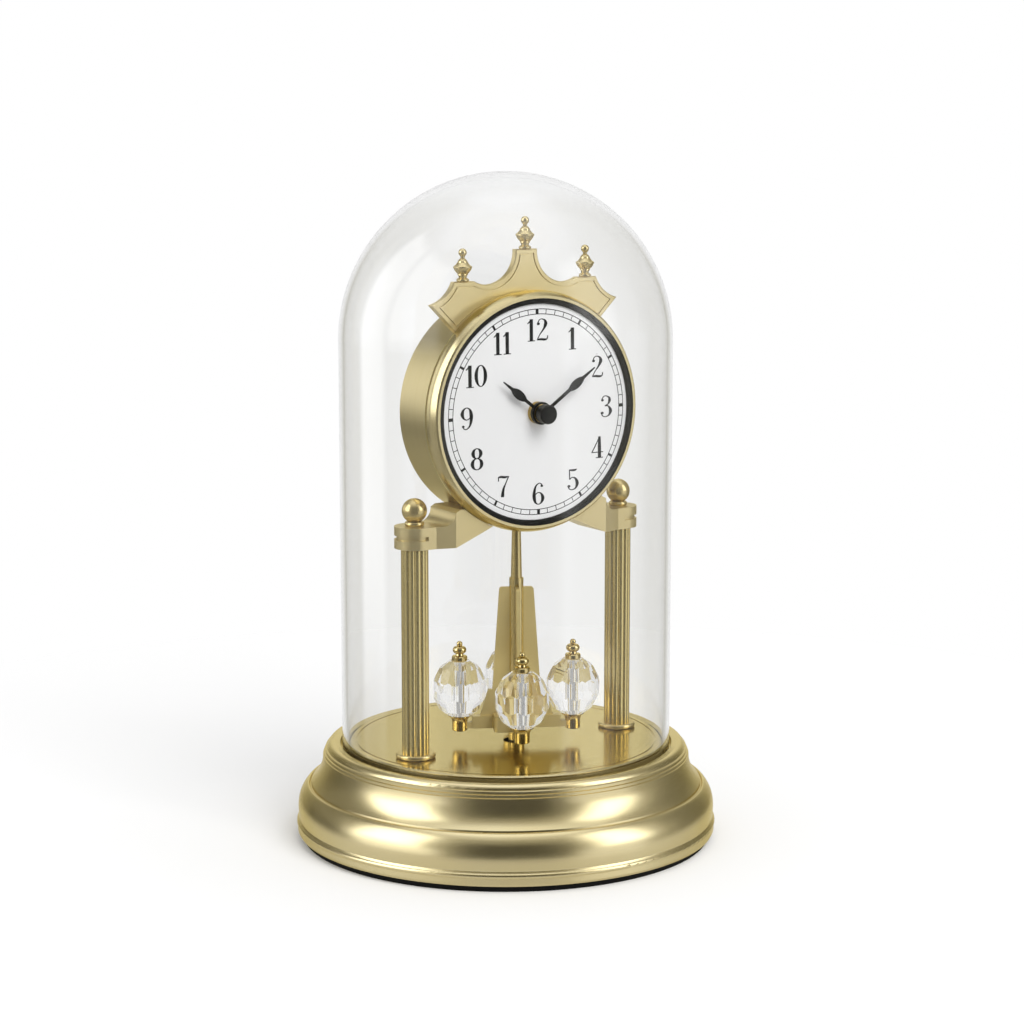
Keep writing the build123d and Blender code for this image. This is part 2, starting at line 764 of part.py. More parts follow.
# Drum case: the tube behind the bezel, with a spigot for the bezel and a seat for the rear cover
spigot_radius = drum_radius - spigot_radial_step
rear_seat_radius = drum_inner_radius + rear_cover_seat
with BuildPart() as drum_case:
    with BuildSketch(dial_plane(drum_back_y)):
        Circle(drum_radius)
    extrude(amount=drum_back_y - drum_front_y)
    chamfer(drum_case.edges().sort_by(Axis.Y)[-1], drum_back_chamfer)
    with BuildSketch(dial_plane(drum_front_y)):
        Circle(spigot_radius)
    extrude(amount=drum_front_y - dial_back_y)
    with BuildSketch(dial_plane(drum_back_y)):
        Circle(drum_inner_radius)
    extrude(amount=drum_back_y - dial_back_y, mode=Mode.SUBTRACT)
    with BuildSketch(dial_plane(drum_back_y)):
        Circle(rear_seat_radius)
    extrude(amount=rear_cover_thickness, mode=Mode.SUBTRACT)
    with BuildSketch(Plane.XY.offset(dial_height)):
        with Locations((0, pendulum_y)):
            Circle(hanger_diameter / 2 + rod_hole_gap)
    extrude(amount=-(drum_radius + cut_overrun), mode=Mode.SUBTRACT)
    for angle in (-bracket_screw_angle, bracket_screw_angle):
        with BuildSketch(drum_screw_plane(angle, column_y, -1)):
            Circle(bracket_screw_diameter / 2)
        extrude(amount=drum_radius + cut_overrun, mode=Mode.SUBTRACT)
    for angle in (-crown_screw_angle, crown_screw_angle):
        with BuildSketch(drum_screw_plane(angle, crown_y, 1)):
            Circle(crown_screw_diameter / 2)
        extrude(amount=drum_radius + cut_overrun, mode=Mode.SUBTRACT)
save(drum_case.part, "drum_case")

# Rear cover: a ring plate that leaves the movement's back in reach
with BuildPart() as rear_cover:
    with BuildSketch(dial_plane(drum_back_y)):
        Circle(rear_seat_radius - rear_cover_gap)
        RectangleRounded(
            movement_width - 2 * rear_window_side_inset,
            movement_tall - 2 * rear_window_top_inset,
            rear_window_round,
            mode=Mode.SUBTRACT,
        )
    extrude(amount=rear_cover_thickness)
save(rear_cover.part, "rear_cover")

# Bezel: the polished ring round the dial, with a rounded side, pushed on the drum's spigot
bezel_side_y = bezel_front_y + bezel_front_chamfer
bezel_bulge_y = bezel_side_y + bezel_bulge_share * (drum_front_y - bezel_side_y)
with BuildPart() as bezel:
    bezel_plane = Plane(origin=(0, 0, dial_height), x_dir=(0, 1, 0), z_dir=(1, 0, 0))
    with BuildSketch(bezel_plane):
        with BuildLine():
            Polyline(
                (bezel_side_y, bezel_radius),
                (bezel_front_y, bezel_radius - bezel_front_chamfer),
                (bezel_front_y, bezel_bore_radius),
                (drum_front_y, bezel_bore_radius),
                (drum_front_y, bezel_radius - bezel_back_chamfer),
                (drum_front_y - bezel_back_chamfer, bezel_radius),
            )
            ThreePointArc(
                (drum_front_y - bezel_back_chamfer, bezel_radius),
                (bezel_bulge_y, bezel_radius + bezel_bulge),
                (bezel_side_y, bezel_radius),
            )
        make_face()
    revolve(axis=Axis((0, 0, dial_height), (0, 1, 0)))
save(bezel.part, "bezel")

# Gasket ring: black, it holds the dial's edge inside the bezel
with BuildPart() as gasket_ring:
    with BuildSketch(dial_plane(dial_face_y)):
        Circle(bezel_bore_radius - dial_gap)
        Circle(bezel_bore_radius - dial_gap - gasket_width, mode=Mode.SUBTRACT)
    extrude(amount=gasket_thickness)
    front_edges = gasket_ring.edges().filter_by(GeomType.CIRCLE).group_by(Axis.Y)[0]
    chamfer(front_edges.sort_by(SortBy.RADIUS)[0], gasket_chamfer)
save(gasket_ring.part, "gasket_ring")

# Dial: a thin white disc against the spigot's end
with BuildPart() as dial:
    with BuildSketch(dial_plane(dial_back_y)):
        Circle(bezel_bore_radius - dial_gap)
        Circle(dial_hole_diameter / 2, mode=Mode.SUBTRACT)
    extrude(amount=dial_thickness)
save(dial.part, "dial")

# Movement housing: the quartz box behind the dial, with an open bay for the battery
with BuildPart() as movement_housing:
    with BuildSketch(dial_plane(movement_back_y)) as outline:
        Rectangle(movement_width, movement_tall)
        chamfer(outline.vertices(), movement_corner)
    extrude(amount=movement_depth)
    with BuildSketch(dial_plane(dial_back_y)):
        Circle(bush_diameter / 2)
    extrude(amount=bush_length)
    with BuildSketch(dial_plane(movement_back_y)):
        with Locations((0, -battery_drop)):
            Rectangle(bay_length, bay_depth)
    extrude(amount=bay_depth, mode=Mode.SUBTRACT)
    with BuildSketch(dial_plane(bush_front_y)):
        Circle(hour_tube_diameter / 2 + arbor_running_gap)
    extrude(amount=-(bush_length + hour_tube_depth + hand_gap), mode=Mode.SUBTRACT)
    with BuildSketch(dial_plane(bush_front_y)):
        Circle(minute_arbor_diameter / 2 + arbor_running_gap)
    extrude(amount=-(bush_length + minute_arbor_depth + hand_gap), mode=Mode.SUBTRACT)
    with BuildSketch(dial_plane(movement_back_y)):
        with Locations((0, set_knob_rise)):
            Circle(set_shaft_diameter / 2 + arbor_running_gap)
    extrude(amount=set_shaft_depth + hand_gap, mode=Mode.SUBTRACT)
save(movement_housing.part, "movement_housing")

# Battery and its two spring contacts
battery_left_x = -(battery_length + battery_tip_length) / 2
with BuildPart() as battery:
    with BuildSketch(Plane(origin=(battery_left_x, battery_y, battery_height), z_dir=(1, 0, 0))):
        Circle(battery_diameter / 2)
    extrude(amount=battery_length)
    with BuildSketch(Plane(origin=(battery_left_x + battery_length, battery_y, battery_height), z_dir=(1, 0, 0))):
        Circle(battery_tip_diameter / 2)
    extrude(amount=battery_tip_length)
save(battery.part, "battery")

with BuildPart() as battery_contacts:
    for side in (-1, 1):
        inner_x = side * (battery_length + battery_tip_length) / 2
        with BuildSketch(Plane(origin=(inner_x, battery_y, battery_height), z_dir=(side, 0, 0))):
            Rectangle(contact_width, contact_width)
        extrude(amount=contact_thickness + battery_gap)
save(battery_contacts.part, "battery_contacts")

# Drive unit: the box under the movement that turns the pendulum to and fro
spindle_radius = hanger_spindle_diameter / 2
with BuildPart() as drive_unit:
    with BuildSketch(Plane.XY.offset(drive_bottom_height)):
        with Locations((0, pendulum_y)):
            RectangleRounded(drive_width, drive_depth, drive_round)
            Circle(spindle_radius + hanger_spindle_gap, mode=Mode.SUBTRACT)
    extrude(amount=drive_height)
save(drive_unit.part, "drive_unit")

# Dial nut: the round nut that clamps the dial on the movement's bush
with BuildPart() as dial_nut:
    with BuildSketch(dial_plane(dial_face_y)):
        Circle(dial_nut_diameter / 2)
        Circle(bush_diameter / 2, mode=Mode.SUBTRACT)
    extrude(amount=dial_nut_thickness)
save(dial_nut.part, "dial_nut")


def make_hand(back_y, hub_diameter, hub_length, length, leaf_radius, leaf_width, bore_diameter, angle):
    """A leaf hand on its hub: a thin stem that swells into a leaf and runs out to a point."""
    turn = math.radians(angle)
    origin = (0, back_y - hub_length / 2 + hand_thickness / 2, dial_height)
    turned = Plane(origin=origin, x_dir=(math.cos(turn), 0, -math.sin(turn)), z_dir=(0, -1, 0))
    half_stem = hand_stem_width / 2
    with BuildPart() as hand:
        with BuildSketch(dial_plane(back_y)):
            Circle(hub_diameter / 2)
        extrude(amount=hub_length)
        with BuildSketch(turned):
            with BuildLine():
                Polyline((-half_stem, leaf_radius - leaf_half_length), (-half_stem, 0), (half_stem, 0),
                         (half_stem, leaf_radius - leaf_half_length))
                ThreePointArc(
                    (half_stem, leaf_radius - leaf_half_length),
                    (leaf_width / 2, leaf_radius),
                    (half_stem, leaf_radius + leaf_half_length),
                )
                Polyline(
                    (half_stem, leaf_radius + leaf_half_length),
                    (hand_tip_width / 2, length),
                    (-hand_tip_width / 2, length),
                    (-half_stem, leaf_radius + leaf_half_length),
                )
                ThreePointArc(
                    (-half_stem, leaf_radius + leaf_half_length),
                    (-leaf_width / 2, leaf_radius),
                    (-half_stem, leaf_radius - leaf_half_length),
                )
            make_face()
        extrude(amount=hand_thickness)
        with BuildSketch(dial_plane(back_y)):
            Circle(bore_diameter / 2)
        extrude(amount=hub_length, mode=Mode.SUBTRACT)
    return hand.part


# Hour hand on its tube
hour_hand_part = make_hand(
    hour_hub_back_y, hour_hub_diameter, hour_hub_length, hour_hand_length, hour_leaf_radius, hour_leaf_width,
    hour_tube_diameter, hour_hand_angle,
)
save(hour_hand_part, "hour_hand")

with BuildPart() as hour_tube:
    with BuildSketch(dial_plane(dial_back_y + hour_tube_depth)):
        Circle(hour_tube_diameter / 2)
        Circle(minute_arbor_diameter / 2 + arbor_running_gap, mode=Mode.SUBTRACT)
    extrude(amount=dial_back_y + hour_tube_depth - hour_hub_front_y)
save(hour_tube.part, "hour_tube")

# Minute hand on its arbor, with the cap that holds it
minute_hand_part = make_hand(
    minute_hub_back_y, minute_hub_diameter, minute_hub_length, minute_hand_length, minute_leaf_radius, minute_leaf_width,
    minute_arbor_diameter, minute_hand_angle,
)
save(minute_hand_part, "minute_hand")

with BuildPart() as minute_arbor:
    with BuildSketch(dial_plane(dial_back_y + minute_arbor_depth)):
        Circle(minute_arbor_diameter / 2)
    extrude(amount=dial_back_y + minute_arbor_depth - minute_hub_front_y)
save(minute_arbor.part, "minute_arbor")

with BuildPart() as hand_cap:
    with BuildSketch(dial_plane(minute_hub_front_y)):
        Circle(hand_cap_diameter / 2)
    extrude(amount=hand_cap_length)
    fillet(hand_cap.edges().sort_by(Axis.Y)[0], hand_cap_round)
save(hand_cap.part, "hand_cap")

# Set knob: turns the hands from behind
with BuildPart() as set_knob:
    with BuildSketch(dial_plane(movement_back_y + set_knob_gap)):
        with Locations((0, set_knob_rise)):
            Circle(set_knob_diameter / 2)
            with PolarLocations(set_knob_diameter / 2, set_knob_notch_count):
                Circle(set_knob_notch_radius, mode=Mode.SUBTRACT)
    extrude(amount=-set_knob_length)
    with BuildSketch(dial_plane(movement_back_y + set_knob_gap)):
        with Locations((0, set_knob_rise)):
            Circle(set_shaft_diameter / 2)
    extrude(amount=set_shaft_depth + set_knob_gap)
save(set_knob.part, "set_knob")

# Crown: the pediment plate, with arcs between peak, shoulders and corners, and a fine groove along its edge
corner_reach = crown_corner_radius / math.sqrt(2)
foot_reach = drum_radius / math.sqrt(2)
peak = (crown_peak_half_width, peak_rise)
shoulder_in = (crown_shoulder_inner_x, shoulder_rise)
shoulder_out = (crown_shoulder_outer_x, shoulder_rise)
valley_x = crown_peak_half_width + crown_valley_share * (crown_shoulder_inner_x - crown_peak_half_width)
valley = (valley_x, shoulder_rise - crown_valley_dip)
side_middle = (
    crown_shoulder_outer_x + crown_side_shares[0] * (corner_reach - crown_shoulder_outer_x),
    shoulder_rise - crown_side_shares[1] * (shoulder_rise - corner_reach),
)
finial_places = [(0, peak_rise), (-side_finial_x, shoulder_rise), (side_finial_x, shoulder_rise)]
with BuildPart() as crown:
    with BuildSketch(dial_plane(crown_front_y + crown_thickness)) as crown_outline:
        with BuildLine():
            Line((0, peak[1]), peak)
            ThreePointArc(peak, valley, shoulder_in)
            Line(shoulder_in, shoulder_out)
            ThreePointArc(shoulder_out, side_middle, (corner_reach, corner_reach))
            Line((corner_reach, corner_reach), (foot_reach, foot_reach))
            ThreePointArc(
                (foot_reach, foot_reach),
                (drum_radius * math.sin(math.pi / 8), drum_radius * math.cos(math.pi / 8)),
                (0, drum_radius),
            )
            Line((0, drum_radius), (0, peak[1]))
        make_face()
        mirror(about=Plane.YZ)
    extrude(amount=crown_thickness)
    chamfer(crown.faces().sort_by(Axis.Y)[0].outer_wire().edges(), crown_edge_chamfer)
    with BuildSketch(dial_plane(crown_front_y)):
        add(crown_outline.sketch_local)
        offset(amount=-crown_border, kind=Kind.INTERSECTION, mode=Mode.REPLACE)
        offset(amount=-crown_groove_width, kind=Kind.INTERSECTION, mode=Mode.SUBTRACT)
    extrude(amount=-crown_groove_depth, mode=Mode.SUBTRACT)
    for angle in (-crown_screw_angle, crown_screw_angle):
        screw_plane = drum_screw_plane(angle, crown_y, 1)
        with BuildSketch(screw_plane.offset(drum_inner_radius)):
            Circle(crown_screw_diameter / 2)
        extrude(amount=drum_wall + crown_screw_length, mode=Mode.SUBTRACT)
    for x, rise in finial_places:
        with BuildSketch(Plane.XY.offset(dial_height + rise)):
            with Locations((x, crown_y)):
                Circle(finial_pin_diameter / 2)
        extrude(amount=-finial_pin_length, mode=Mode.SUBTRACT)
save(crown.part, "crown")


def make_screws(angles, y, side, shank_diameter, head_diameter, head_height, reach):
    """Screws through the drum's wall from inside: a head against the wall and a shank outwards."""
    with BuildPart() as screws:
        for angle in angles:
            screw_plane = drum_screw_plane(angle, y, side)
            head_seat = math.sqrt(drum_inner_radius**2 - (head_diameter / 2) ** 2)
            with BuildSketch(screw_plane.offset(head_seat)):
                Circle(head_diameter / 2)
            extrude(amount=-head_height)
            with BuildSketch(screw_plane.offset(head_seat)):
                Circle(shank_diameter / 2)
            extrude(amount=drum_inner_radius - head_seat + drum_wall + reach)
    return screws.part


save(
    make_screws(
        (-crown_screw_angle, crown_screw_angle), crown_y, 1,
        crown_screw_diameter, crown_screw_head_diameter, crown_screw_head_height, crown_screw_length,
    ),
    "crown_screws",
)
save(
    make_screws(
        (-bracket_screw_angle, bracket_screw_angle), column_y, -1,
        bracket_screw_diameter, bracket_screw_head_diameter, bracket_screw_head_height, bracket_screw_length,
    ),
    "bracket_screws",
)


def bead_points(top, radius):
    """Start, middle and end of the outline of a bead on the axis, from its neck to its top."""
    neck = radius * bead_neck_share
    centre = top - radius
    return [(neck, centre - math.sqrt(radius**2 - neck**2)), (radius, centre), (0, top)]


def make_finial(x, rise):
    """A turned crown finial: foot ring, waist, bowl with a thin rim, bell and ball."""
    foot = dial_height + rise
    disc = finial_disc_diameter / 2
    ring_shares = [(0.0, 0.0), (0.6, 0.0), (0.66, 0.02), (0.66, 0.065), (0.58, 0.085), (0.41, 0.118)]
    bowl_shares = [(0.46, 0.18), (0.56, 0.2), (0.53, 0.225), (0.74, 0.29), (0.88, 0.35), (0.97, 0.405)]
    bell_shares = [(1.0, 0.42), (1.0, 0.455), (0.93, 0.468), (0.74, 0.51), (0.58, 0.57), (0.49, 0.625),
                   (0.37, 0.67), (0.22, 0.705)]
    finial_shares = ring_shares + bowl_shares + bell_shares
    outline = [(disc * radius, foot + finial_height * height) for radius, height in finial_shares]
    bead = bead_points(foot + finial_height, finial_bead_diameter / 2)
    with BuildPart() as finial:
        with BuildSketch(upright_plane(x, crown_y)):
            with BuildLine():
                Polyline(outline + bead[:1])
                ThreePointArc(*bead)
                Line(bead[-1], outline[0])
            make_face()
        revolve(axis=upright_axis(x, crown_y))
        with BuildSketch(Plane.XY.offset(foot)):
            with Locations((x, crown_y)):
                Circle(finial_pin_diameter / 2)
        extrude(amount=-finial_pin_length)
    return finial.part


with BuildPart() as crown_finials:
    for x, rise in finial_places:
        add(make_finial(x, rise))
save(crown_finials.part, "crown_finials")

# Hanger: the drive's spindle with the head that the pendulum rod hangs from
with BuildPart() as hanger:
    with BuildSketch(Plane.XY.offset(hanger_bottom_height)):
        with Locations((0, pendulum_y)):
            Circle(hanger_diameter / 2)
    extrude(amount=hanger_height)
    with BuildSketch(Plane.XY.offset(hanger_top_height)):
        with Locations((0, pendulum_y)):
            Circle(spindle_radius)
    extrude(amount=hanger_drive_gap + hanger_spindle_length)
    with BuildSketch(Plane.XY.offset(hanger_bottom_height)):
        with Locations((0, pendulum_y)):
            Circle(rod_top_diameter / 2)
    extrude(amount=rod_socket_depth, mode=Mode.SUBTRACT)
save(hanger.part, "hanger")

# Pendulum rod: a slim taper from the hanger down into the centre tube
rod_top_height = hanger_bottom_height + rod_socket_depth
rod_foot_height = tube_top_height - tube_socket_depth
with BuildPart() as pendulum_rod:
    with BuildSketch(upright_plane(0, pendulum_y)):
        with BuildLine():
            Polyline(
                (0, rod_foot_height),
                (rod_bottom_diameter / 2, rod_foot_height),
                (rod_bottom_diameter / 2, tube_top_height),
                (rod_top_diameter / 2, hanger_bottom_height),
                (rod_top_diameter / 2, rod_top_height),
                (0, rod_top_height),
                close=True,
            )
        make_face()
    revolve(axis=upright_axis(0, pendulum_y))
save(pendulum_rod.part, "pendulum_rod")

# Centre tube: slotted four ways for the fins, with the guide spigot below
slot_floor = tube_diameter / 2 - fin_slot_depth
spigot_bottom_height = guide_cup_bottom + guide_cup_wall + spigot_floor_gap
with BuildPart() as centre_tube:
    with BuildSketch(upright_plane(0, pendulum_y)):
        with BuildLine():
            Polyline(
                (0, spigot_bottom_height),
                (spigot_diameter / 2 - spigot_round, spigot_bottom_height),
                (spigot_diameter / 2, spigot_bottom_height + spigot_round),
                (spigot_diameter / 2, arm_top_height),
                (tube_diameter / 2, arm_top_height),
                (tube_diameter / 2, tube_top_height),
                (rod_bottom_diameter / 2, tube_top_height),
                (rod_bottom_diameter / 2, rod_foot_height),
                (0, rod_foot_height),
                close=True,
            )
        make_face()
    revolve(axis=upright_axis(0, pendulum_y))
    with BuildSketch(pendulum_plane(arm_top_height)):
        with PolarLocations(slot_floor, crystal_count):
            Rectangle(tube_diameter, fin_thickness, align=(Align.MIN, Align.CENTER))
    extrude(amount=rod_foot_height - arm_top_height, mode=Mode.SUBTRACT)
save(centre_tube.part, "centre_tube")


def make_fin(angle):
    """One tapered fin: its inner edge sits in the tube's slot, its foot widens over the arm."""
    with BuildPart() as fin:
        with BuildSketch(radial_plane(angle).offset(-fin_thickness / 2)) as profile:
            with BuildLine():
                Polyline(
                    (slot_floor, arm_top_height),
                    (fin_foot_reach, arm_top_height),
                    (fin_ledge_reach + fin_ledge_step, fin_ledge_height),
                    (fin_ledge_reach, fin_ledge_height),
                    (fin_top_reach, fin_top_height),
                    (slot_floor, fin_top_height),
                    close=True,
                )
            make_face()
            fillet(profile.vertices().group_by(Axis.Y)[-1].sort_by(Axis.X)[-1], fin_top_round)
        extrude(amount=fin_thickness)
    return fin.part


with BuildPart() as fins:
    for angle in crystal_angles:
        add(make_fin(angle))
save(fins.part, "fins")

# Arm cross: four arms on a hub, each with a tongue for its crystal's cup
with BuildPart() as arm_cross:
    with BuildSketch(pendulum_plane(arm_bottom_height)) as hub_outline:
        RectangleRounded(2 * hub_half_width, 2 * hub_half_width, hub_round)
        Rectangle(2 * arm_reach, arm_width)
        Rectangle(arm_width, 2 * arm_reach)
        Circle(spigot_diameter / 2, mode=Mode.SUBTRACT)
    extrude(amount=arm_height)
    with BuildSketch(pendulum_plane(arm_bottom_height)):
        with PolarLocations(arm_reach, crystal_count):
            Rectangle(arm_tongue_reach - arm_reach, arm_tongue_width, align=(Align.MIN, Align.CENTER))
    extrude(amount=arm_tongue_height)
save(arm_cross.part, "arm_cross")

# Balance block: the rounded block between two arms
with BuildPart() as balance_block:
    with BuildSketch(pendulum_plane(arm_bottom_height)):
        with BuildLine():
            near = -arm_width / 2
            far = -balance_reach
            bend = far + balance_round
            hub_edge = -hub_half_width
            Polyline((near, hub_edge), (near, far), (bend, far))
            RadiusArc((bend, far), (far, bend), balance_round)
            Polyline((far, bend), (far, near), (hub_edge, near), (hub_edge, hub_edge), (near, hub_edge))
        make_face()
    extrude(amount=arm_height + balance_rise)
save(balance_block.part, "balance_block")


def make_cup(angle):
    """A flared cup on the end of an arm, slotted for the arm's tongue and bored for the pin."""
    x, y = orbit_place(angle)
    stem = cup_stem_diameter / 2
    rim = cup_rim_diameter / 2
    rim_top = crystal_bottom_height + cup_rim_height
    stem_top = cup_bottom_height + cup_stem_share * (crystal_bottom_height - cup_bottom_height)
    flare_middle = (stem + (rim - stem) * 0.3, stem_top + (crystal_bottom_height - stem_top) * 0.62)
    with BuildPart() as cup:
        with BuildSketch(upright_plane(x, y)):
            with BuildLine():
                Polyline(
                    (0, cup_bottom_height),
                    (stem - cup_stem_chamfer, cup_bottom_height),
                    (stem, cup_bottom_height + cup_stem_chamfer),
                    (stem, stem_top),
                )
                ThreePointArc((stem, stem_top), flare_middle, (rim, crystal_bottom_height))
                Polyline(
                    (rim, crystal_bottom_height),
                    (rim, rim_top),
                    (rim - cup_dish_inset, rim_top),
                    (rim - cup_dish_inset, crystal_bottom_height),
                    (0, crystal_bottom_height),
                    (0, cup_bottom_height),
                )
            make_face()
        revolve(axis=upright_axis(x, y))
        out = math.radians(angle)
        slot_plane = Plane(origin=(x, y, arm_bottom_height), x_dir=(math.cos(out), math.sin(out), 0), z_dir=(0, 0, 1))
        with BuildSketch(slot_plane):
            with Locations((arm_tongue_reach - crystal_orbit, 0)):
                Rectangle(crystal_orbit, arm_tongue_width, align=(Align.MAX, Align.CENTER))
        extrude(amount=arm_tongue_height, mode=Mode.SUBTRACT)
        with BuildSketch(Plane.XY.offset(crystal_bottom_height)):
            with Locations((x, y)):
                Circle(crystal_pin_diameter / 2)
        extrude(amount=cup_bottom_height + crystal_pin_foot - crystal_bottom_height, mode=Mode.SUBTRACT)
    return cup.part


with BuildPart() as crystal_cups:
    for angle in crystal_angles:
        add(make_cup(angle))
save(crystal_cups.part, "crystal_cups")


def crystal_points(x, y):
    """Corners of a cut ball: rings of points, each turned half a step against the last."""
    points = []
    for ring, (radius_share, height_share) in enumerate(crystal_ring_shares):
        radius = radius_share * crystal_diameter / 2
        height = crystal_bottom_height + height_share * crystal_height
        for side in range(crystal_sides):
            turn = 2 * math.pi * (side + 0.5 * (ring % 2)) / crystal_sides
            points.append((x + radius * math.cos(turn), y + radius * math.sin(turn), height))
    return points


def make_crystal(angle):
    """One cut ball with its bore."""
    x, y = orbit_place(angle)
    with BuildPart() as crystal:
        ConvexPolyhedron(crystal_points(x, y))
        with BuildSketch(Plane.XY.offset(crystal_bottom_height)):
            with Locations((x, y)):
                Circle(crystal_bore_diameter / 2)
        extrude(amount=crystal_height, mode=Mode.SUBTRACT)
    return crystal.part


with BuildPart() as crystals:
    for angle in crystal_angles:
        add(make_crystal(angle))
save(crystals.part, "crystals")

# Crystal pins: run from the cups through the bores into the finials
with BuildPart() as crystal_pins:
    for angle in crystal_angles:
        with BuildSketch(Plane.XY.offset(cup_bottom_height + crystal_pin_foot)):
            with Locations(orbit_place(angle)):
                Circle(crystal_pin_diameter / 2)
        extrude(amount=crystal_top_height + crystal_pin_top - cup_bottom_height - crystal_pin_foot)
save(crystal_pins.part, "crystal_pins")


def make_crystal_finial(angle):
    """A turned knob on a crystal: collar, neck, flattened ball and bead, bored for the pin."""
    x, y = orbit_place(angle)
    wide = crystal_finial_diameter / 2
    collar_shares = [(0.92, 0.0), (1.0, 0.04), (1.0, 0.2), (0.9, 0.25), (0.52, 0.27), (0.46, 0.36)]
    knob_share = (0.87, 0.575)
    outline = [(wide * radius, crystal_top_height + crystal_finial_height * height)
               for radius, height in collar_shares]
    knob = (wide * knob_share[0], crystal_top_height + crystal_finial_height * knob_share[1])
    bead = bead_points(crystal_top_height + crystal_finial_height, crystal_bead_diameter / 2)
    with BuildPart() as finial:
        with BuildSketch(upright_plane(x, y)):
            with BuildLine():
                Polyline(outline)
                ThreePointArc(outline[-1], knob, bead[0])
                ThreePointArc(*bead)
                Polyline(
                    bead[-1],
                    (0, crystal_top_height + crystal_pin_top),
                    (crystal_pin_diameter / 2, crystal_top_height + crystal_pin_top),
                    (crystal_pin_diameter / 2, crystal_top_height),
                    outline[0],
                )
            make_face()
        revolve(axis=upright_axis(x, y))
    return finial.part


with BuildPart() as crystal_finials:
    for angle in crystal_angles:
        add(make_crystal_finial(angle))
save(crystal_finials.part, "crystal_finials")
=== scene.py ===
# %% [markdown]
# # A desk clock under a glass dome
# The model comes from the CAD frame: every solid is already in its place, in metres, with +Z up
# and the dial facing -Y. This file dresses it. It gives each solid the finish of the real piece,
# adds what is too fine for CAD, and sets up a small photo studio.

import bmesh
import bpy
import numpy as np
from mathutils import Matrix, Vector


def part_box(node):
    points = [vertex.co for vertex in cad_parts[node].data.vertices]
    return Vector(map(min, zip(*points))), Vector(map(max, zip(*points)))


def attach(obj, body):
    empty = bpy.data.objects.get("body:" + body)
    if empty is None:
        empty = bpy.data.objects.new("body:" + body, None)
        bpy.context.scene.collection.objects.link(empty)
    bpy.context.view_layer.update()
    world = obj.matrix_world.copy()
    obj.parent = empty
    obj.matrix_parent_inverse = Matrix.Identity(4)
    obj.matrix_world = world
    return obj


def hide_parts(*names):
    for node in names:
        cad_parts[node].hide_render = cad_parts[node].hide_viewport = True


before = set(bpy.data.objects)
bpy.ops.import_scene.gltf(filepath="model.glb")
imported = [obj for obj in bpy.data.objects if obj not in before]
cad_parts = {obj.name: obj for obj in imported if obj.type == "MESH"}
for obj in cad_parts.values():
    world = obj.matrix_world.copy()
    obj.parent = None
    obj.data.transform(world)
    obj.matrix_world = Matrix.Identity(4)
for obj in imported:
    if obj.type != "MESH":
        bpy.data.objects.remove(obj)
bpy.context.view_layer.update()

MM = 0.001

# %% [markdown]
# ## The camera
# A product photo is taken from a short distance with a long lens, so upright lines stay almost
# parallel. The camera is placed by its heading and its height above the horizon, seen from the
# point that it aims at, because those are the numbers that one can read from a photo. A lamp is
# placed in the same way, so both share the helpers.

# %% Camera
CAMERA_HEADING = 32.03
CAMERA_ELEVATION = 9.32
CAMERA_DISTANCE = 0.9099
CAMERA_AIM = Vector((0.0019, -0.0011, 0.1155))
LENS = 91.13
SENSOR = 36.0
CLIP_NEAR = 0.01
CLIP_FAR = 200.0


def away_from_clock(turn, lift):
    """The unit vector (-sin t cos l, -cos t cos l, sin l); with no turn it is the way the dial
    faces."""
    return Vector((-np.sin(turn) * np.cos(lift), -np.cos(turn) * np.cos(lift), np.sin(lift)))


def facing_clock(name, data, away, distance):
    """A camera or lamp at aim + distance * away, turned back to the aim."""
    holder = bpy.data.objects.new(name, data)
    holder.location = CAMERA_AIM + distance * away
    holder.rotation_euler = (-away).to_track_quat("-Z", "Y").to_euler()
    bpy.context.scene.collection.objects.link(holder)
    return holder


heading = np.radians(CAMERA_HEADING)
camera_data = bpy.data.cameras.new("studio_camera")
camera_data.lens = LENS
camera_data.sensor_width = SENSOR
camera_data.clip_start = CLIP_NEAR
camera_data.clip_end = CLIP_FAR
towards_camera = away_from_clock(heading, np.radians(CAMERA_ELEVATION))
camera = facing_clock("studio_camera", camera_data, towards_camera, CAMERA_DISTANCE)
bpy.context.scene.camera = camera
print("camera at", [round(c, 3) for c in camera.location])

# %% [markdown]
# ## The studio
# Gold plating has no colour of its own apart from what it reflects, so the room matters more than
# the metal. The room of a product photo is a pale floor, tall soft boxes left and right of the
# camera, a pale ceiling, and the dark of the room behind the camera. It could be built from lamps
# and boards, but a world shader holds all of it as a function of direction, with soft edges and
# no noise. Rays that have met no metal see plain white, and rays that have met a matt surface see
# an even soft light. Rays that have gone through more walls than the dome's were in the clear
# beads, which gather light from all sides, so they see mostly white too.
#
# A photographer hides a board from some surfaces with black flags. Here the ray's own path does
# it: the dome's wall mirrors without blur, the base with some, and a ray from the pieces inside
# has come through the dome. So each kind of mirror can be given panels of its own.

# %% Shader helpers
def add_node(tree, kind, sockets=None, **settings):
    """The outputs of a new shader node. A socket is linked where its value is another node's
    output, and set to the value otherwise."""
    node = tree.nodes.new("ShaderNode" + kind)
    for name, value in settings.items():
        setattr(node, name, value)
    for socket, value in (sockets or {}).items():
        if isinstance(value, bpy.types.NodeSocket):
            tree.links.new(value, node.inputs[socket])
        else:
            node.inputs[socket].default_value = value
    return node.outputs


def link_math(tree, operation, *values):
    """The result of a Math node on numbers and outputs of nodes."""
    return add_node(tree, "Math", dict(enumerate(values)), operation=operation)[0]


def mix_colours(tree, first, second, share):
    """A colour between two, by a share of 0 to 1."""
    sockets = {"A": first, "B": second, "Factor": share}
    return add_node(tree, "Mix", sockets, data_type="RGBA")["Result"]


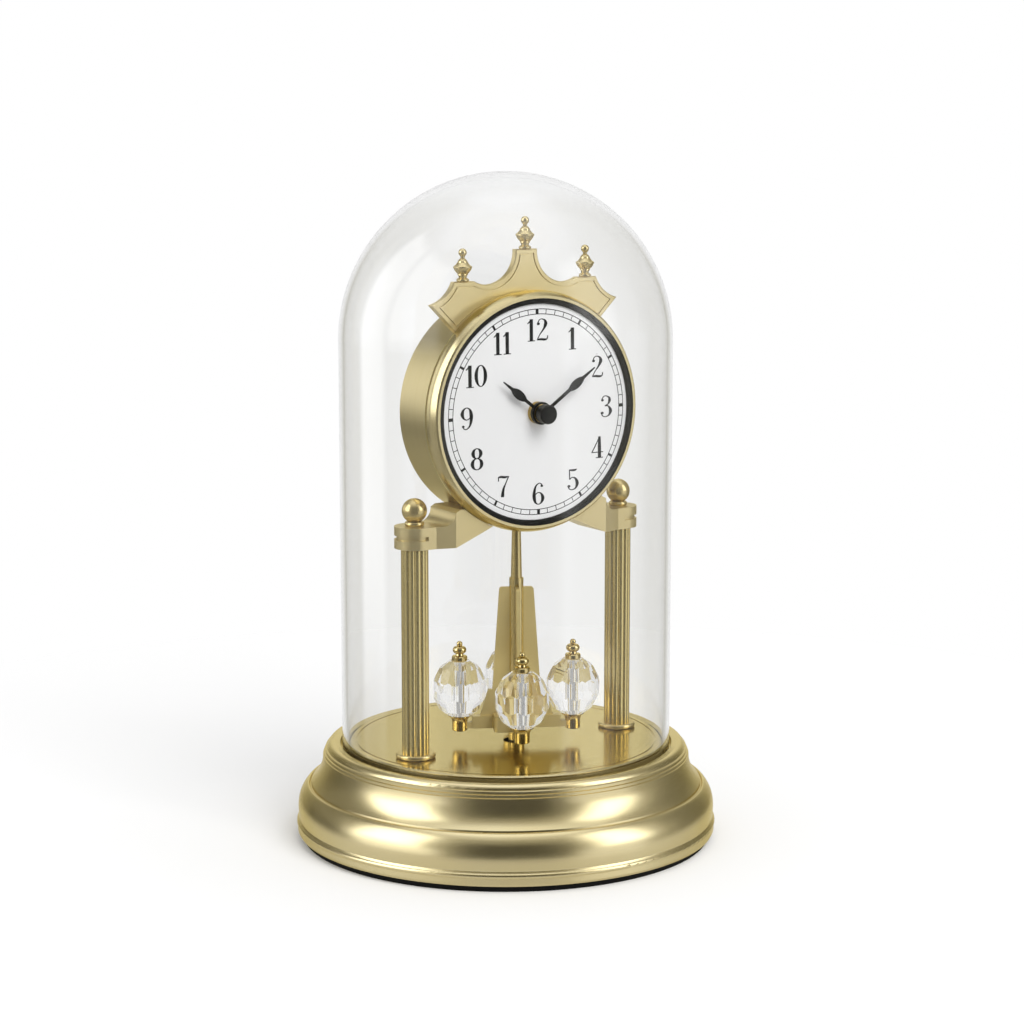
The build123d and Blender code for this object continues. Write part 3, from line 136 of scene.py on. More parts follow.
def smooth_step(tree, value, low, high, out_low=0.0, out_high=1.0):
    """A smooth ramp of a value between two limits."""
    sockets = {"Value": value, "From Min": low, "From Max": high,
               "To Min": out_low, "To Max": out_high}
    return add_node(tree, "MapRange", sockets, interpolation_type="SMOOTHSTEP")["Result"]


def window(tree, value, centre, half, soft):
    """1 within half of the centre, 0 outside, with an edge as wide as soft on both sides of it."""
    off = link_math(tree, "ABSOLUTE", link_math(tree, "SUBTRACT", value, centre))
    return smooth_step(tree, off, half - soft, half + soft, 1.0, 0.0)


def blend_to(tree, below, level, share):
    """Goes from one brightness to a level by a share: below + (level - below) * share."""
    step = link_math(tree, "SUBTRACT", level, below)
    return link_math(tree, "MULTIPLY_ADD", step, share, below)


def has_met(tree, depth):
    """1 for a ray that has met at least one surface of the kind that a depth counts, else 0."""
    return link_math(tree, "MINIMUM", depth, 1.0)


# %% World
# A panel is (name, azimuth, half width, height, half height, softness, brightness, who mirrors it),
# with angles in degrees: azimuths from the camera, positive to its right, heights from the horizon.
# Those who mirror are "all", the outer wall of the "dome", the "base", or the "inner" pieces.
WHITE = 1.0
ROOM_LEVEL = 0.42
BEHIND_LEVEL = 0.95
BEHIND_EDGE = (146.0, 168.0)
CEILING_LEVEL = 1.35
CEILING_EDGE = (46.0, 74.0)
FILL_LIGHT = 0.95
BEAD_LIGHT = 0.85
BEAD_WALLS = (4.4, 5.6)
DOME_EDGE = (108.0, 132.0)
DOME_EDGE_SHARE = 0.8
ROOM_WARM = (1.0, 0.95, 0.74, 1.0)
WARM_LEVELS = (0.15, 1.0)
PANELS = [
    ("dark side left", -119.0, 21.0, 12.0, 30.0, 7.0, 0.16, "all"),
    ("dark side right", 124.0, 20.0, -6.0, 40.0, 9.0, 0.22, "all"),
    ("dark of the room", 4.0, 32.0, 4.0, 36.0, 11.0, 0.08, "all"),
    ("dim side left", -120.0, 22.0, 40.0, 32.0, 9.0, 0.25, "base"),
    ("soft box left", -69.0, 21.0, 24.0, 25.5, 4.5, 3.2, "all"),
    ("soft box foot", -63.0, 25.0, -2.0, 9.0, 6.0, 1.6, "base"),
    ("soft box right", 68.0, 15.0, 26.0, 25.0, 7.0, 3.2, "all"),
    ("flag left", -62.0, 32.0, 28.0, 36.0, 8.0, 0.6, "dome"),
    ("strip left", -104.0, 13.0, 18.0, 31.0, 4.0, 3.0, "dome"),
    ("reflector right", 61.0, 21.0, -10.0, 13.0, 5.0, 1.05, "all"),
    ("flag right", 78.0, 32.0, 16.0, 44.0, 8.0, 0.4, "dome"),
    ("reflector left", -114.0, 15.0, 12.0, 17.0, 9.0, 1.4, "inner"),
]


def room_angles(tree):
    """Azimuth and height of a direction in degrees: the arc tangent of its part to the camera's
    right over its part towards the camera, and the arc sine of its part upwards."""
    direction = add_node(tree, "TexCoord")["Generated"]
    to_the_right = (np.cos(heading), -np.sin(heading), 0.0)
    towards, right, up = (
        add_node(tree, "VectorMath", {0: direction, 1: axis}, operation="DOT_PRODUCT")["Value"]
        for axis in (away_from_clock(heading, 0.0), to_the_right, (0.0, 0.0, 1.0)))
    azimuth = link_math(tree, "DEGREES", link_math(tree, "ARCTAN2", right, towards))
    return azimuth, link_math(tree, "DEGREES", link_math(tree, "ARCSINE", up))


def reflected_room(tree, mirrored_by):
    """Brightness of the room in a direction, as metal and glass reflect it. mirrored_by gives, for
    each kind of mirror, 1 where the ray comes from it; the dome also sees the white behind the
    clock sooner than the rest."""
    azimuth, height = room_angles(tree)
    around = link_math(tree, "ABSOLUTE", azimuth)
    room = blend_to(tree, ROOM_LEVEL, BEHIND_LEVEL, smooth_step(tree, around, *BEHIND_EDGE))
    for _, at, half, up, half_up, soft, level, who in PANELS:
        share = link_math(tree, "MULTIPLY", window(tree, azimuth, at, half, soft),
                          window(tree, height, up, half_up, soft))
        if who in mirrored_by:
            share = link_math(tree, "MULTIPLY", share, mirrored_by[who])
        room = blend_to(tree, room, level, share)
    behind = smooth_step(tree, around, *DOME_EDGE, 0.0, DOME_EDGE_SHARE)
    room = blend_to(tree, room, WHITE, link_math(tree, "MULTIPLY", behind, mirrored_by["dome"]))
    return blend_to(tree, room, CEILING_LEVEL, smooth_step(tree, height, *CEILING_EDGE))


def studio_world():
    """White seen directly or through glass, the room seen by metal, a fill for matt surfaces."""
    world = bpy.data.worlds.new("studio")
    world.use_nodes = True
    world.cycles.sampling_method = "NONE"
    tree = world.node_tree
    tree.nodes.clear()
    path = add_node(tree, "LightPath")
    by_metal = has_met(tree, path["Glossy Depth"])
    by_matt = has_met(tree, path["Diffuse Depth"])
    inner = has_met(tree, path["Transmission Depth"])
    outer = link_math(tree, "SUBTRACT", 1.0, inner)
    sharp = path["Is Singular Ray"]
    blurred = link_math(tree, "SUBTRACT", 1.0, sharp)
    mirrored_by = {"inner": inner, "dome": link_math(tree, "MULTIPLY", outer, sharp),
                   "base": link_math(tree, "MULTIPLY", outer, blurred)}
    room = reflected_room(tree, mirrored_by)
    strength = blend_to(tree, WHITE, room, by_metal)
    by_bead = smooth_step(tree, path["Transmission Depth"], *BEAD_WALLS, 0.0, BEAD_LIGHT)
    strength = blend_to(tree, strength, WHITE, by_bead)
    strength = blend_to(tree, strength, FILL_LIGHT, by_matt)
    dim = smooth_step(tree, room, *WARM_LEVELS, 1.0, 0.0)
    warmth = link_math(tree, "MULTIPLY", by_metal, dim)
    tint = mix_colours(tree, (1.0, 1.0, 1.0, 1.0), ROOM_WARM, warmth)
    background = add_node(tree, "Background", {"Color": tint, "Strength": strength})
    add_node(tree, "OutputWorld", {"Surface": background[0]})
    bpy.context.scene.world = world


studio_world()
print("panels in the room:", len(PANELS))

# %% [markdown]
# ## The lamp
# A large soft lamp above, right of the camera, gives the dial its light and the clock its soft
# shadow. Metal and glass don't show it, because they already show the room's soft boxes.

# %% Lamp
LAMP_SIDE = 35.0
LAMP_HEIGHT = 42.0
LAMP_DISTANCE = 3.0
LAMP_SIZE = 1.75
LAMP_WATTS = 56.0


def soft_lamp(name):
    """A square lamp, LAMP_SIDE degrees right of the camera and LAMP_HEIGHT above the horizon."""
    data = bpy.data.lights.new(name, "AREA")
    data.shape = "RECTANGLE"
    data.size = LAMP_SIZE
    data.size_y = LAMP_SIZE
    data.energy = LAMP_WATTS
    away = away_from_clock(heading - np.radians(LAMP_SIDE), np.radians(LAMP_HEIGHT))
    lamp = facing_clock(name, data, away, LAMP_DISTANCE)
    lamp.visible_camera = False
    lamp.visible_glossy = False
    lamp.visible_transmission = False
    return lamp


lamp = soft_lamp("lamp_front")
bpy.context.scene.view_settings.view_transform = "Standard"
print("lamp at", [round(c, 3) for c in lamp.location])

# %% [markdown]
# ## The floor
# The clock stands on a round sheet of white paper on a table. Beyond its edge the metal mirrors the
# room, which goes on below the horizon, and the camera sees white as it does above. It could be a
# single quad, but rings of points that get closer towards the clock show how a disc is made of a
# grid: one parameter is the radius and the other the angle. Part of the paper's white is shown by
# itself, and the part that is lit keeps the clock's shadow. Metal and glass see the paper dimmed,
# and it fades out towards its edge for them, so that no edge of it is mirrored.

# %% Mesh helpers
def mesh_piece(name, points, faces):
    """An object made of arrays: points (n, 3) in metres, and faces of point numbers."""
    mesh = bpy.data.meshes.new(name)
    corners = [list(map(int, face)) for face in faces]
    mesh.from_pydata(np.asarray(points, float).tolist(), [], corners)
    mesh.validate()
    piece = bpy.data.objects.new(name, mesh)
    bpy.context.scene.collection.objects.link(piece)
    return piece


def joined_piece(name, solids):
    """One object from (points, faces) pairs; the point numbers of each follow the last one's."""
    all_faces, offset = [], 0
    for points, faces in solids:
        all_faces += [[corner + offset for corner in face] for face in faces]
        offset += len(points)
    return mesh_piece(name, np.concatenate([points for points, _ in solids]), all_faces)


def smooth_within(piece, degrees):
    """Smooth shading, except over edges that turn by more than an angle."""
    piece.data.shade_smooth()
    piece.data.set_sharp_from_angle(angle=np.radians(degrees))
    return piece


def turn_outwards(piece):
    """Points all faces of a closed mesh outwards."""
    bm = bmesh.new()
    bm.from_mesh(piece.data)
    bmesh.ops.recalc_face_normals(bm, faces=bm.faces)
    bm.to_mesh(piece.data)
    bm.free()


def full_turn(steps):
    """Angles of equal steps round a full turn, from 0."""
    return np.linspace(0.0, 2 * np.pi, steps, endpoint=False)


def grid_faces(rows, columns, loop=False):
    """Quads between neighbours of a grid whose last column joins the first; in a loop the last row
    joins the first as well."""
    index = np.arange(rows * columns).reshape(rows, columns)
    index = np.pad(index, ((0, int(loop)), (0, 1)), mode="wrap")
    corners = (index[:-1, :-1], index[:-1, 1:], index[1:, 1:], index[1:, :-1])
    return np.stack(corners, axis=-1).reshape(-1, 4)


# %% Floor
FLOOR_RADIUS = 0.36
FLOOR_PINHOLE = 0.5 * MM
FLOOR_FIRST = 20 * MM
FLOOR_RINGS = 12
FLOOR_STEPS = 72
PAPER_WHITE = 0.783
PAPER_SHOWN = 0.04
PAPER_FADE = (0.095, 0.16)
PAPER_DIMMED = 0.35


def floor_paper():
    """A point at radius r and angle a is (r cos a, r sin a, 0). After a pinhole under the clock,
    each radius is the last one times a fixed factor."""
    radii = np.append(FLOOR_PINHOLE, np.geomspace(FLOOR_FIRST, FLOOR_RADIUS, FLOOR_RINGS))
    angles = full_turn(FLOOR_STEPS)
    grid = np.stack([np.outer(radii, np.cos(angles)), np.outer(radii, np.sin(angles)),
                     np.zeros((len(radii), len(angles)))], axis=-1)
    faces = grid_faces(len(radii), len(angles))[:, ::-1]
    return mesh_piece("paper", grid.reshape(-1, 3), faces)


def paper_finish():
    """Matt paper; rays that have met a matt surface see only the lit part."""
    material = bpy.data.materials.new("paper")
    material.use_nodes = True
    tree = material.node_tree
    tree.nodes.clear()
    path = add_node(tree, "LightPath")
    shown = blend_to(tree, PAPER_SHOWN, 0.0, has_met(tree, path["Diffuse Depth"]))
    lit = add_node(tree, "BsdfDiffuse", {"Color": (PAPER_WHITE, PAPER_WHITE, PAPER_WHITE, 1.0)})
    glow = add_node(tree, "Emission", {"Color": (1.0, 1.0, 1.0, 1.0), "Strength": shown})
    both = add_node(tree, "AddShader", {0: lit[0], 1: glow[0]})
    place = add_node(tree, "TexCoord")["Object"]
    radius = add_node(tree, "VectorMath", {0: place}, operation="LENGTH")["Value"]
    faded = smooth_step(tree, radius, *PAPER_FADE, PAPER_DIMMED, 1.0)
    hidden = link_math(tree, "MULTIPLY", faded, has_met(tree, path["Glossy Depth"]))
    clear = add_node(tree, "BsdfTransparent")
    mix = add_node(tree, "MixShader", {0: hidden, 1: both[0], 2: clear[0]})
    add_node(tree, "OutputMaterial", {"Surface": mix[0]})
    return material


paper = floor_paper()
paper.data.materials.append(paper_finish())
print("paper points:", len(paper.data.vertices))

# %% [markdown]
# ## Finishes
# Each finish is one Principled shader. What is the same all over, such as the metalness, is a
# number on the shader, and what varies, such as the colour and roughness, comes from noise on
# object coordinates, so it stays with the piece when the camera or the pendulum turns.

# %% Finish helpers
ROUGHNESS_NOISE = (0.3, 0.7)
COLOUR_NOISE = (0.35, 0.65)
LATHE_RADIUS = 0.05


class Finish:
    """A material under construction: its tree, its Principled shader and the common patterns."""

    def __init__(self, name, colour, roughness, metallic=0.0, **sockets):
        self.material = bpy.data.materials.new(name)
        self.material.use_nodes = True
        self.tree = self.material.node_tree
        self.shader = self.tree.nodes["Principled BSDF"]
        self.colour = (*colour, 1.0)
        self.roughness = roughness
        sockets |= {"Base Color": self.colour, "Roughness": roughness, "Metallic": metallic}
        for socket, value in sockets.items():
            self.shader.inputs[socket].default_value = value
        self.place = add_node(self.tree, "TexCoord")["Object"]

    def feed(self, socket, value):
        """Links a node's output to a socket of the shader."""
        self.tree.links.new(value, self.shader.inputs[socket])

    def noise(self, scale, detail=3.0, stretch=(1.0, 1.0, 1.0), vector=None):
        """Noise in cells of 1/scale metres, stretched along the axes."""
        sockets = {"Vector": vector or self.place, "Scale": stretch}
        mapped = add_node(self.tree, "Mapping", sockets)[0]
        sockets = {"Vector": mapped, "Scale": scale, "Detail": detail}
        return add_node(self.tree, "TexNoise", sockets)["Fac"]

    def turned(self, centre, axis):
        """Lathe coordinates: the distance from the axis, the angle round it times LATHE_RADIUS, and
        the place along it."""
        sockets = {0: self.place, 1: centre}
        shifted = add_node(self.tree, "VectorMath", sockets, operation="SUBTRACT")[0]
        x, y, z = add_node(self.tree, "SeparateXYZ", {0: shifted})
        if axis == "Y":
            y, z = z, y
        squares = link_math(self.tree, "ADD", link_math(self.tree, "MULTIPLY", x, x),
                            link_math(self.tree, "MULTIPLY", y, y))
        radius = link_math(self.tree, "SQRT", squares)
        angle = link_math(self.tree, "ARCTAN2", y, x)
        arc = link_math(self.tree, "MULTIPLY", angle, LATHE_RADIUS)
        return add_node(self.tree, "CombineXYZ", {0: radius, 1: arc, 2: z})[0]

    def vary_roughness(self, value, spread):
        """Roughness from the base value minus spread to plus spread."""
        limits = (self.roughness - spread, self.roughness + spread)
        self.feed("Roughness", smooth_step(self.tree, value, *ROUGHNESS_NOISE, *limits))

    def vary_colour(self, value, other):
        """Base colour between the finish's own and another."""
        share = smooth_step(self.tree, value, *COLOUR_NOISE)
        self.feed("Base Color", mix_colours(self.tree, self.colour, (*other, 1.0), share))

    def bump(self, value, depth):
        """Relief of a height in metres, given by a value from 0 to 1."""
        sockets = {"Height": value, "Distance": depth, "Strength": 1.0}
        self.feed("Normal", add_node(self.tree, "Bump", sockets)[0])

    def swap_in(self, share, other):
        """Another shader takes the place of what the material shows now, by a share of 0 to 1."""
        surface = self.tree.nodes["Material Output"].inputs["Surface"]
        shown = surface.links[0].from_socket
        mix = add_node(self.tree, "MixShader", {0: share, 1: shown, 2: other})
        self.tree.links.new(mix[0], surface)

    def let_lamps_through(self):
        """Glass doesn't shade what is behind it: rays from lamps meet a clear shader instead."""
        from_lamp = add_node(self.tree, "LightPath")["Is Shadow Ray"]
        self.swap_in(from_lamp, add_node(self.tree, "BsdfTransparent")[0])

    def gather_light(self, walls, level):
        """A ray that has met more walls than this has lost its way among the facets, and what it
        brings is the mean light of the room: a plain glow stands for it."""
        met = add_node(self.tree, "LightPath")["Ray Depth"]
        lost = link_math(self.tree, "GREATER_THAN", met, walls)
        self.swap_in(lost, add_node(self.tree, "Emission", {"Strength": level})[0])


def dress(finish, *nodes):
    """Puts a finish on CAD nodes."""
    for node in nodes:
        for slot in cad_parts[node].material_slots:
            slot.material = finish.material


CLOCK_AXIS = (0.0, 0.0, 0.0)
DIAL_CENTRE = tuple(np.array(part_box("dial")).mean(axis=0))
print("dial centre", DIAL_CENTRE)

# %% [markdown]
# ## Gold
# The base, the drum and the columns are steel and zinc with a satin gold plating; the small turned
# pieces are polished brass. Both are metals, so the colour goes into the reflection. A metal grows
# pale where it is seen at a low angle, and the tint keeps the gold's own colour there. The marks of
# the brush run round the turned pieces, so their noise is stretched along the angle.

# %% Gold finishes
GOLD = (0.68, 0.583, 0.335)
GOLD_PALE = (0.70, 0.608, 0.365)
BRASS = (0.70, 0.565, 0.27)
GOLD_EDGE = (0.85, 0.77, 0.50, 1.0)
BRUSH_STRETCH = (1.0, 0.03, 1.0)


def plated(name, colour, roughness, spread, metallic=1.0):
    """Metal with soft clouds in its polish; a lower metallic gives it a lacquer's milky light."""
    finish = Finish(name, colour, roughness, metallic=metallic, **{"Specular Tint": GOLD_EDGE})
    finish.vary_roughness(finish.noise(110, 4.0), spread)
    return finish


def brushed(name, colour, other, roughness, spread, centre, axis, lines):
    """Metal with marks that run round an axis: fine lines across it, long along the angle."""
    finish = Finish(name, colour, roughness, metallic=1.0, **{"Specular Tint": GOLD_EDGE})
    marks = finish.noise(lines, 3.0, BRUSH_STRETCH, finish.turned(centre, axis))
    finish.vary_roughness(marks, spread)
    finish.vary_colour(marks, other)
    return finish


base_gold = plated("satin_gold_base", GOLD, 0.26, 0.012)
base_gold.vary_colour(base_gold.noise(30, 3.0), GOLD_PALE)
dress(base_gold, "base_shell")

deck_gold = brushed("brushed_gold_deck", GOLD_PALE, GOLD, 0.16, 0.015, CLOCK_AXIS, "Z", 600)
dress(deck_gold, "deck_plate")

drum_gold = brushed("brushed_gold_drum", GOLD, GOLD_PALE, 0.31, 0.03, DIAL_CENTRE, "Y", 1300)
dress(drum_gold, "drum_case", "rear_cover")

bezel_gold = plated("satin_gold_bezel", GOLD, 0.20, 0.012)
dress(bezel_gold, "bezel")

column_gold = plated("satin_gold_column", (0.75, 0.62, 0.30), 0.19, 0.01, metallic=0.86)
dress(column_gold, "left_column", "right_column")

cast_gold = plated("satin_gold_cast", (0.70, 0.585, 0.31), 0.32, 0.02, metallic=0.72)
cast_gold.vary_colour(cast_gold.noise(45, 2.0), (0.72, 0.605, 0.33))
dress(cast_gold, "left_bracket", "right_bracket", "crown")

sheet_gold = plated("satin_gold_sheet", (0.74, 0.60, 0.27), 0.34, 0.02, metallic=0.38)
sheet_gold.vary_colour(sheet_gold.noise(45, 2.0), (0.76, 0.62, 0.29))
dress(sheet_gold, "fins", "arm_cross", "balance_block")

ball_gold = plated("satin_gold_balls", (0.71, 0.58, 0.29), 0.25, 0.012, metallic=0.88)
dress(ball_gold, "ball_finials", "column_flanges", "centre_tube", "pendulum_rod", "hanger")

polished_brass = plated("polished_brass", BRASS, 0.10, 0.015)
dress(polished_brass, "crystal_cups", "crystal_finials")

finial_gold = plated("satin_gold_finials", (0.74, 0.62, 0.34), 0.18, 0.012, metallic=0.82)
dress(finial_gold, "crown_finials")
gold_names = [name for name in bpy.data.materials.keys() if "gold" in name or "brass" in name]
print("gold finishes:", gold_names)

# %% [markdown]
# ## Glass
# The dome is blown glass and the beads are cut acrylic. Both are one clear shader that bends light
# at each wall. A very low, wide wave in the surface is what blowing and moulding leave behind, and
# it keeps the reflections from being ruler straight. Light that is caught among the facets of a
# bead would end as black after the last bounce, so a soft glow takes its place there.

# %% Glass and acrylic
DOME_TINT = (0.952, 0.954, 0.953)
DOME_WAVE = 0.02 * MM
BEAD_WAVE = 0.004 * MM
BEAD_RAYS = 5.5
BEAD_GLOW = 0.80


def clear(name, tint, bending, shine):
    """A smooth shader that light goes through; bending is its IOR and shine its specular level."""
    sockets = {"Transmission Weight": 1.0, "IOR": bending, "Specular IOR Level": shine}
    return Finish(name, tint, 0.0, **sockets)


dome_glass = clear("dome_glass", DOME_TINT, 1.45, 0.07)
dome_glass.bump(dome_glass.noise(22, 1.0), DOME_WAVE)
dome_glass.let_lamps_through()
dress(dome_glass, "glass_dome")

crystal_glass = clear("crystal_acrylic", (1.0, 1.0, 1.0), 1.5, 0.9)
crystal_glass.bump(crystal_glass.noise(350, 1.0), BEAD_WAVE)
crystal_glass.let_lamps_through()
crystal_glass.gather_light(BEAD_RAYS, BEAD_GLOW)
dress(crystal_glass, "crystals")
print("clear finishes:", dome_glass.material.name, crystal_glass.material.name)

# %% [markdown]
# ## Dial, black parts and plastics
# The dial is painted, the ring round it is rubber, the hands are lacquered and the movement is
# moulded. They are matt, so the colour is their own and the grain shows in the light's soft edge.

# %% Matt finishes
PAD_GRAIN = 0.1 * MM
PLASTIC_GRAIN = 0.006 * MM
# Bump of the brown ring in the dome's groove, whose colour is painted shade.
GROOVE_RING_BUMP = 0.08 * MM


def matt(name, colour, roughness, grain, spread, shine=0.5):
    """A finish without metal, its roughness in grains of 1/grain metres; shine is its specular
    level."""
    finish = Finish(name, colour, roughness, **{"Specular IOR Level": shine})
    finish.vary_roughness(finish.noise(grain, 3.0), spread)
    return finish


dial_white = matt("dial_white", (0.91, 0.91, 0.915), 0.55, 90, 0.03)
dress(dial_white, "dial")

gasket_black = matt("gasket_black", (0.004, 0.004, 0.004), 0.45, 800, 0.06, 0.25)
dress(gasket_black, "gasket_ring")

hand_black = matt("hand_black", (0.006, 0.006, 0.006), 0.42, 800, 0.06, 0.35)
dress(hand_black, "hour_hand", "minute_hand", "hand_cap")

pad_black = matt("pad_black", (0.004, 0.004, 0.004), 0.85, 1500, 0.05, 0.2)
pad_black.bump(pad_black.noise(2500, 4.0), PAD_GRAIN)
dress(pad_black, "foot_pad")

plastic_black = matt("moulded_plastic", (0.022, 0.022, 0.023), 0.48, 1200, 0.06, 0.4)
plastic_black.bump(plastic_black.noise(1600, 2.0), PLASTIC_GRAIN)
dress(plastic_black, "movement_housing", "drive_unit", "guide_cup", "bottom_cover")

steel = Finish("plated_steel", (0.55, 0.55, 0.55), 0.25, metallic=1.0)
steel.vary_roughness(steel.noise(600, 3.0), 0.08)
dress(steel, "ballast", "tie_rods", "tie_nuts", "tie_washers", "cover_screws", "crown_screws",
      "bracket_screws", "crystal_pins", "battery_contacts")

movement_brass = plated("movement_brass", (0.52, 0.38, 0.16), 0.30, 0.05)
dress(movement_brass, "hour_tube", "minute_arbor", "dial_nut")

battery_wrap = matt("battery_wrap", (0.42, 0.43, 0.45), 0.30, 300, 0.04)
dress(battery_wrap, "battery")
print("materials in all:", len(bpy.data.materials))

# %% [markdown]
# ## Reeded columns
# The shafts are drawn tubes with rounded reeds along them. Each reed mirrors the whole room in a
# strip 2 mm wide, and that is what makes the columns look striped. A reed could be a modelled
# cylinder, but the whole shaft is one surface: the radius is a function of the angle, and the
# height is the other parameter.

# %% Columns
REED_COUNT = 12
REED_DEPTH = 0.45 * MM
REED_STEPS = 20
REED_POWER = 2.6
REED_SHARP = 40.0
BORE_SHARE = 0.4


def reeded_column(name, node):
    """Radius R - d |2u|^p, where u runs from -1/2 to 1/2 across each reed. The rings go out over
    the foot, up the reeds, in over the top and back down the bore, so the tube is closed."""
    low, high = np.array(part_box(node))
    x, y, _ = (low + high) / 2
    outer = (high[0] - low[0]) / 2
    angles = full_turn(REED_COUNT * REED_STEPS)
    across = (angles * REED_COUNT / (2 * np.pi)) % 1.0 - 0.5
    reeds = outer - REED_DEPTH * np.abs(2 * across) ** REED_POWER
    bore = np.full(len(angles), BORE_SHARE * outer)
    rings = [(bore, low[2]), (reeds, low[2]), (reeds, high[2]), (bore, high[2])]
    points = [np.stack([x + radius * np.cos(angles), y + radius * np.sin(angles),
                        np.full(len(angles), height)], axis=-1) for radius, height in rings]
    return mesh_piece(name, np.concatenate(points), grid_faces(len(rings), len(angles), loop=True))


for side in ("left", "right"):
    shaft = reeded_column(side + "_reeded_shaft", side + "_column")
    smooth_within(shaft, REED_SHARP)
    shaft.data.materials.append(column_gold.material)
    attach(shaft, "base")
    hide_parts(side + "_column")
print("reeds on each column:", REED_COUNT)

# %% [markdown]
# ## Cut beads
# Each pendulum ball is a clear bead cut with flat facets and drilled through for its pin. A facet
# is a plane that touches an egg shape, so the bead is what is left inside all the planes. Its
# corners come from geometry's mirror trick: the hull of the planes' normals has a triangle for
# every corner of the bead. Rows of facets are turned by half a step, which gives the long diamonds
# of the real one.

# %% Bead helpers
# A row of facets is (height of its normals in degrees, number of facets, turn in shares of a step).
BEAD_ROWS = [(0.0, 12, 0.0), (31.0, 12, 0.5), (57.0, 12, 0.0)]
BEAD_RADIUS = 9.4 * MM
BEAD_HALF = 10.6 * MM
BEAD_END = 9.9 * MM
BORE_RADIUS = 1.5 * MM
FLAT_ANGLE = 0.5
UPRIGHT = 0.999


def hull_faces(points):
    """Triangles of the convex hull of points, as point numbers."""
    bm = bmesh.new()
    corners = [bm.verts.new(point) for point in points]
    bm.verts.index_update()
    bmesh.ops.convex_hull(bm, input=corners)
    faces = np.array([[vert.index for vert in face.verts] for face in bm.faces])
    bm.free()
    return faces


def facet_normals():
    """Unit normals of the facets, row by row above and below the middle."""
    normals = []
    for height, count, shift in BEAD_ROWS:
        turn = 2 * np.pi * (np.arange(count) + shift) / count
        up = np.radians(height)
        for side in ((1,) if height == 0.0 else (1, -1)):
            normals.append(np.stack([np.cos(up) * np.cos(turn), np.cos(up) * np.sin(turn),
                                     np.full(count, side * np.sin(up))], axis=-1))
    return np.concatenate(normals)


def bead_corners():
    """Corners of the cut bead about its middle. Each one solves n1.p = n2.p = n3.p = 1 for the
    three normals of a triangle of their hull."""
    poles = np.array([[0.0, 0.0, 1.0], [0.0, 0.0, -1.0]]) * BEAD_HALF / BEAD_END
    normals = np.concatenate([facet_normals(), poles])
    triples = normals[hull_faces(normals)]
    corners = np.linalg.solve(triples, np.ones((len(triples), 3, 1)))[..., 0]
    corners = np.unique(corners.round(6), axis=0)
    widest = np.hypot(corners[:, 0], corners[:, 1]).max()
    return corners * (BEAD_RADIUS / widest, BEAD_RADIUS / widest, BEAD_HALF)


# %% Drilling the bead
def bore_rim(bm, end):
    """The bore's edge in an end facet, with two points for each corner, and the faces between."""
    outer = sorted(end.verts, key=lambda vert: np.arctan2(vert.co.y, vert.co.x))
    count = 2 * len(outer)
    turn = np.arctan2(outer[0].co.y, outer[0].co.x) + full_turn(count)
    places = np.stack([BORE_RADIUS * np.cos(turn), BORE_RADIUS * np.sin(turn),
                       np.full(count, outer[0].co.z)], axis=-1)
    rim = [bm.verts.new(place) for place in places]
    for i, corner in enumerate(outer):
        following = outer[(i + 1) % len(outer)]
        bm.faces.new([corner, following, rim[(2 * i + 2) % count], rim[2 * i + 1], rim[2 * i]])
    return rim


def cut_bead():
    """A drilled bead about the origin: the hull of its corners, with a bore from end to end."""
    bm = bmesh.new()
    verts = [bm.verts.new(corner) for corner in bead_corners()]
    bmesh.ops.convex_hull(bm, input=verts)
    flat = np.radians(FLAT_ANGLE)
    bmesh.ops.dissolve_limit(bm, angle_limit=flat, verts=bm.verts, edges=bm.edges)
    ends = [face for face in bm.faces if abs(face.normal.z) > UPRIGHT]
    low_rim, high_rim = [bore_rim(bm, end) for end in ends]
    bmesh.ops.delete(bm, geom=ends, context="FACES_ONLY")
    distances = [(low_rim[0].co.xy - vert.co.xy).length for vert in high_rim]
    nearest = int(np.argmin(distances))
    high_rim = high_rim[nearest:] + high_rim[:nearest]
    for i in range(len(low_rim)):
        j = (i + 1) % len(low_rim)
        bm.faces.new([low_rim[i], low_rim[j], high_rim[j], high_rim[i]])
    bmesh.ops.recalc_face_normals(bm, faces=bm.faces)
    bm.verts.index_update()
    points = np.array([vert.co[:] for vert in bm.verts])
    faces = [[vert.index for vert in face.verts] for face in bm.faces]
    bm.free()
    return points, faces


def turning(angle):
    """A matrix for rows of (x, y), which become (x cos a - y sin a, x sin a + y cos a)."""
    return np.array([[np.cos(angle), np.sin(angle)], [-np.sin(angle), np.cos(angle)]])


# %% Beads
PENDULUM_TURN = -26.5
PENDULUM_ORBIT = 20.0 * MM
BEAD_SHARP = 17.0
pendulum_x, pendulum_y, _ = np.array(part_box("pendulum_rod")).mean(axis=0)
bead_height = np.array(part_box("crystals")).mean(axis=0)[2]
points, faces = cut_bead()
solids = []
for quarter in range(4):
    angle = np.radians(PENDULUM_TURN + 90.0 * quarter)
    turned = np.column_stack([points[:, :2] @ turning(angle), points[:, 2]])
    place = (pendulum_x + PENDULUM_ORBIT * np.cos(angle),
             pendulum_y + PENDULUM_ORBIT * np.sin(angle), bead_height)
    solids.append((turned + place, faces))
beads = joined_piece("cut_beads", solids)
smooth_within(beads, BEAD_SHARP)
beads.data.materials.append(crystal_glass.material)
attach(beads, "pendulum")
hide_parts("crystals")
print("facets on each bead:", len(facet_normals()))

# %% [markdown]
# ## Dial print
# The dial is printed with a minute track and upright numerals of a fat and a thin stroke. Blender
# has text objects, but its own font has no such contrast. So each digit is written as with a broad
# pen: the pen follows a smooth curve through a few points, and its width changes from point to
# point. Every stroke is a very thin closed solid that lies on the dial, as a layer of paint does.

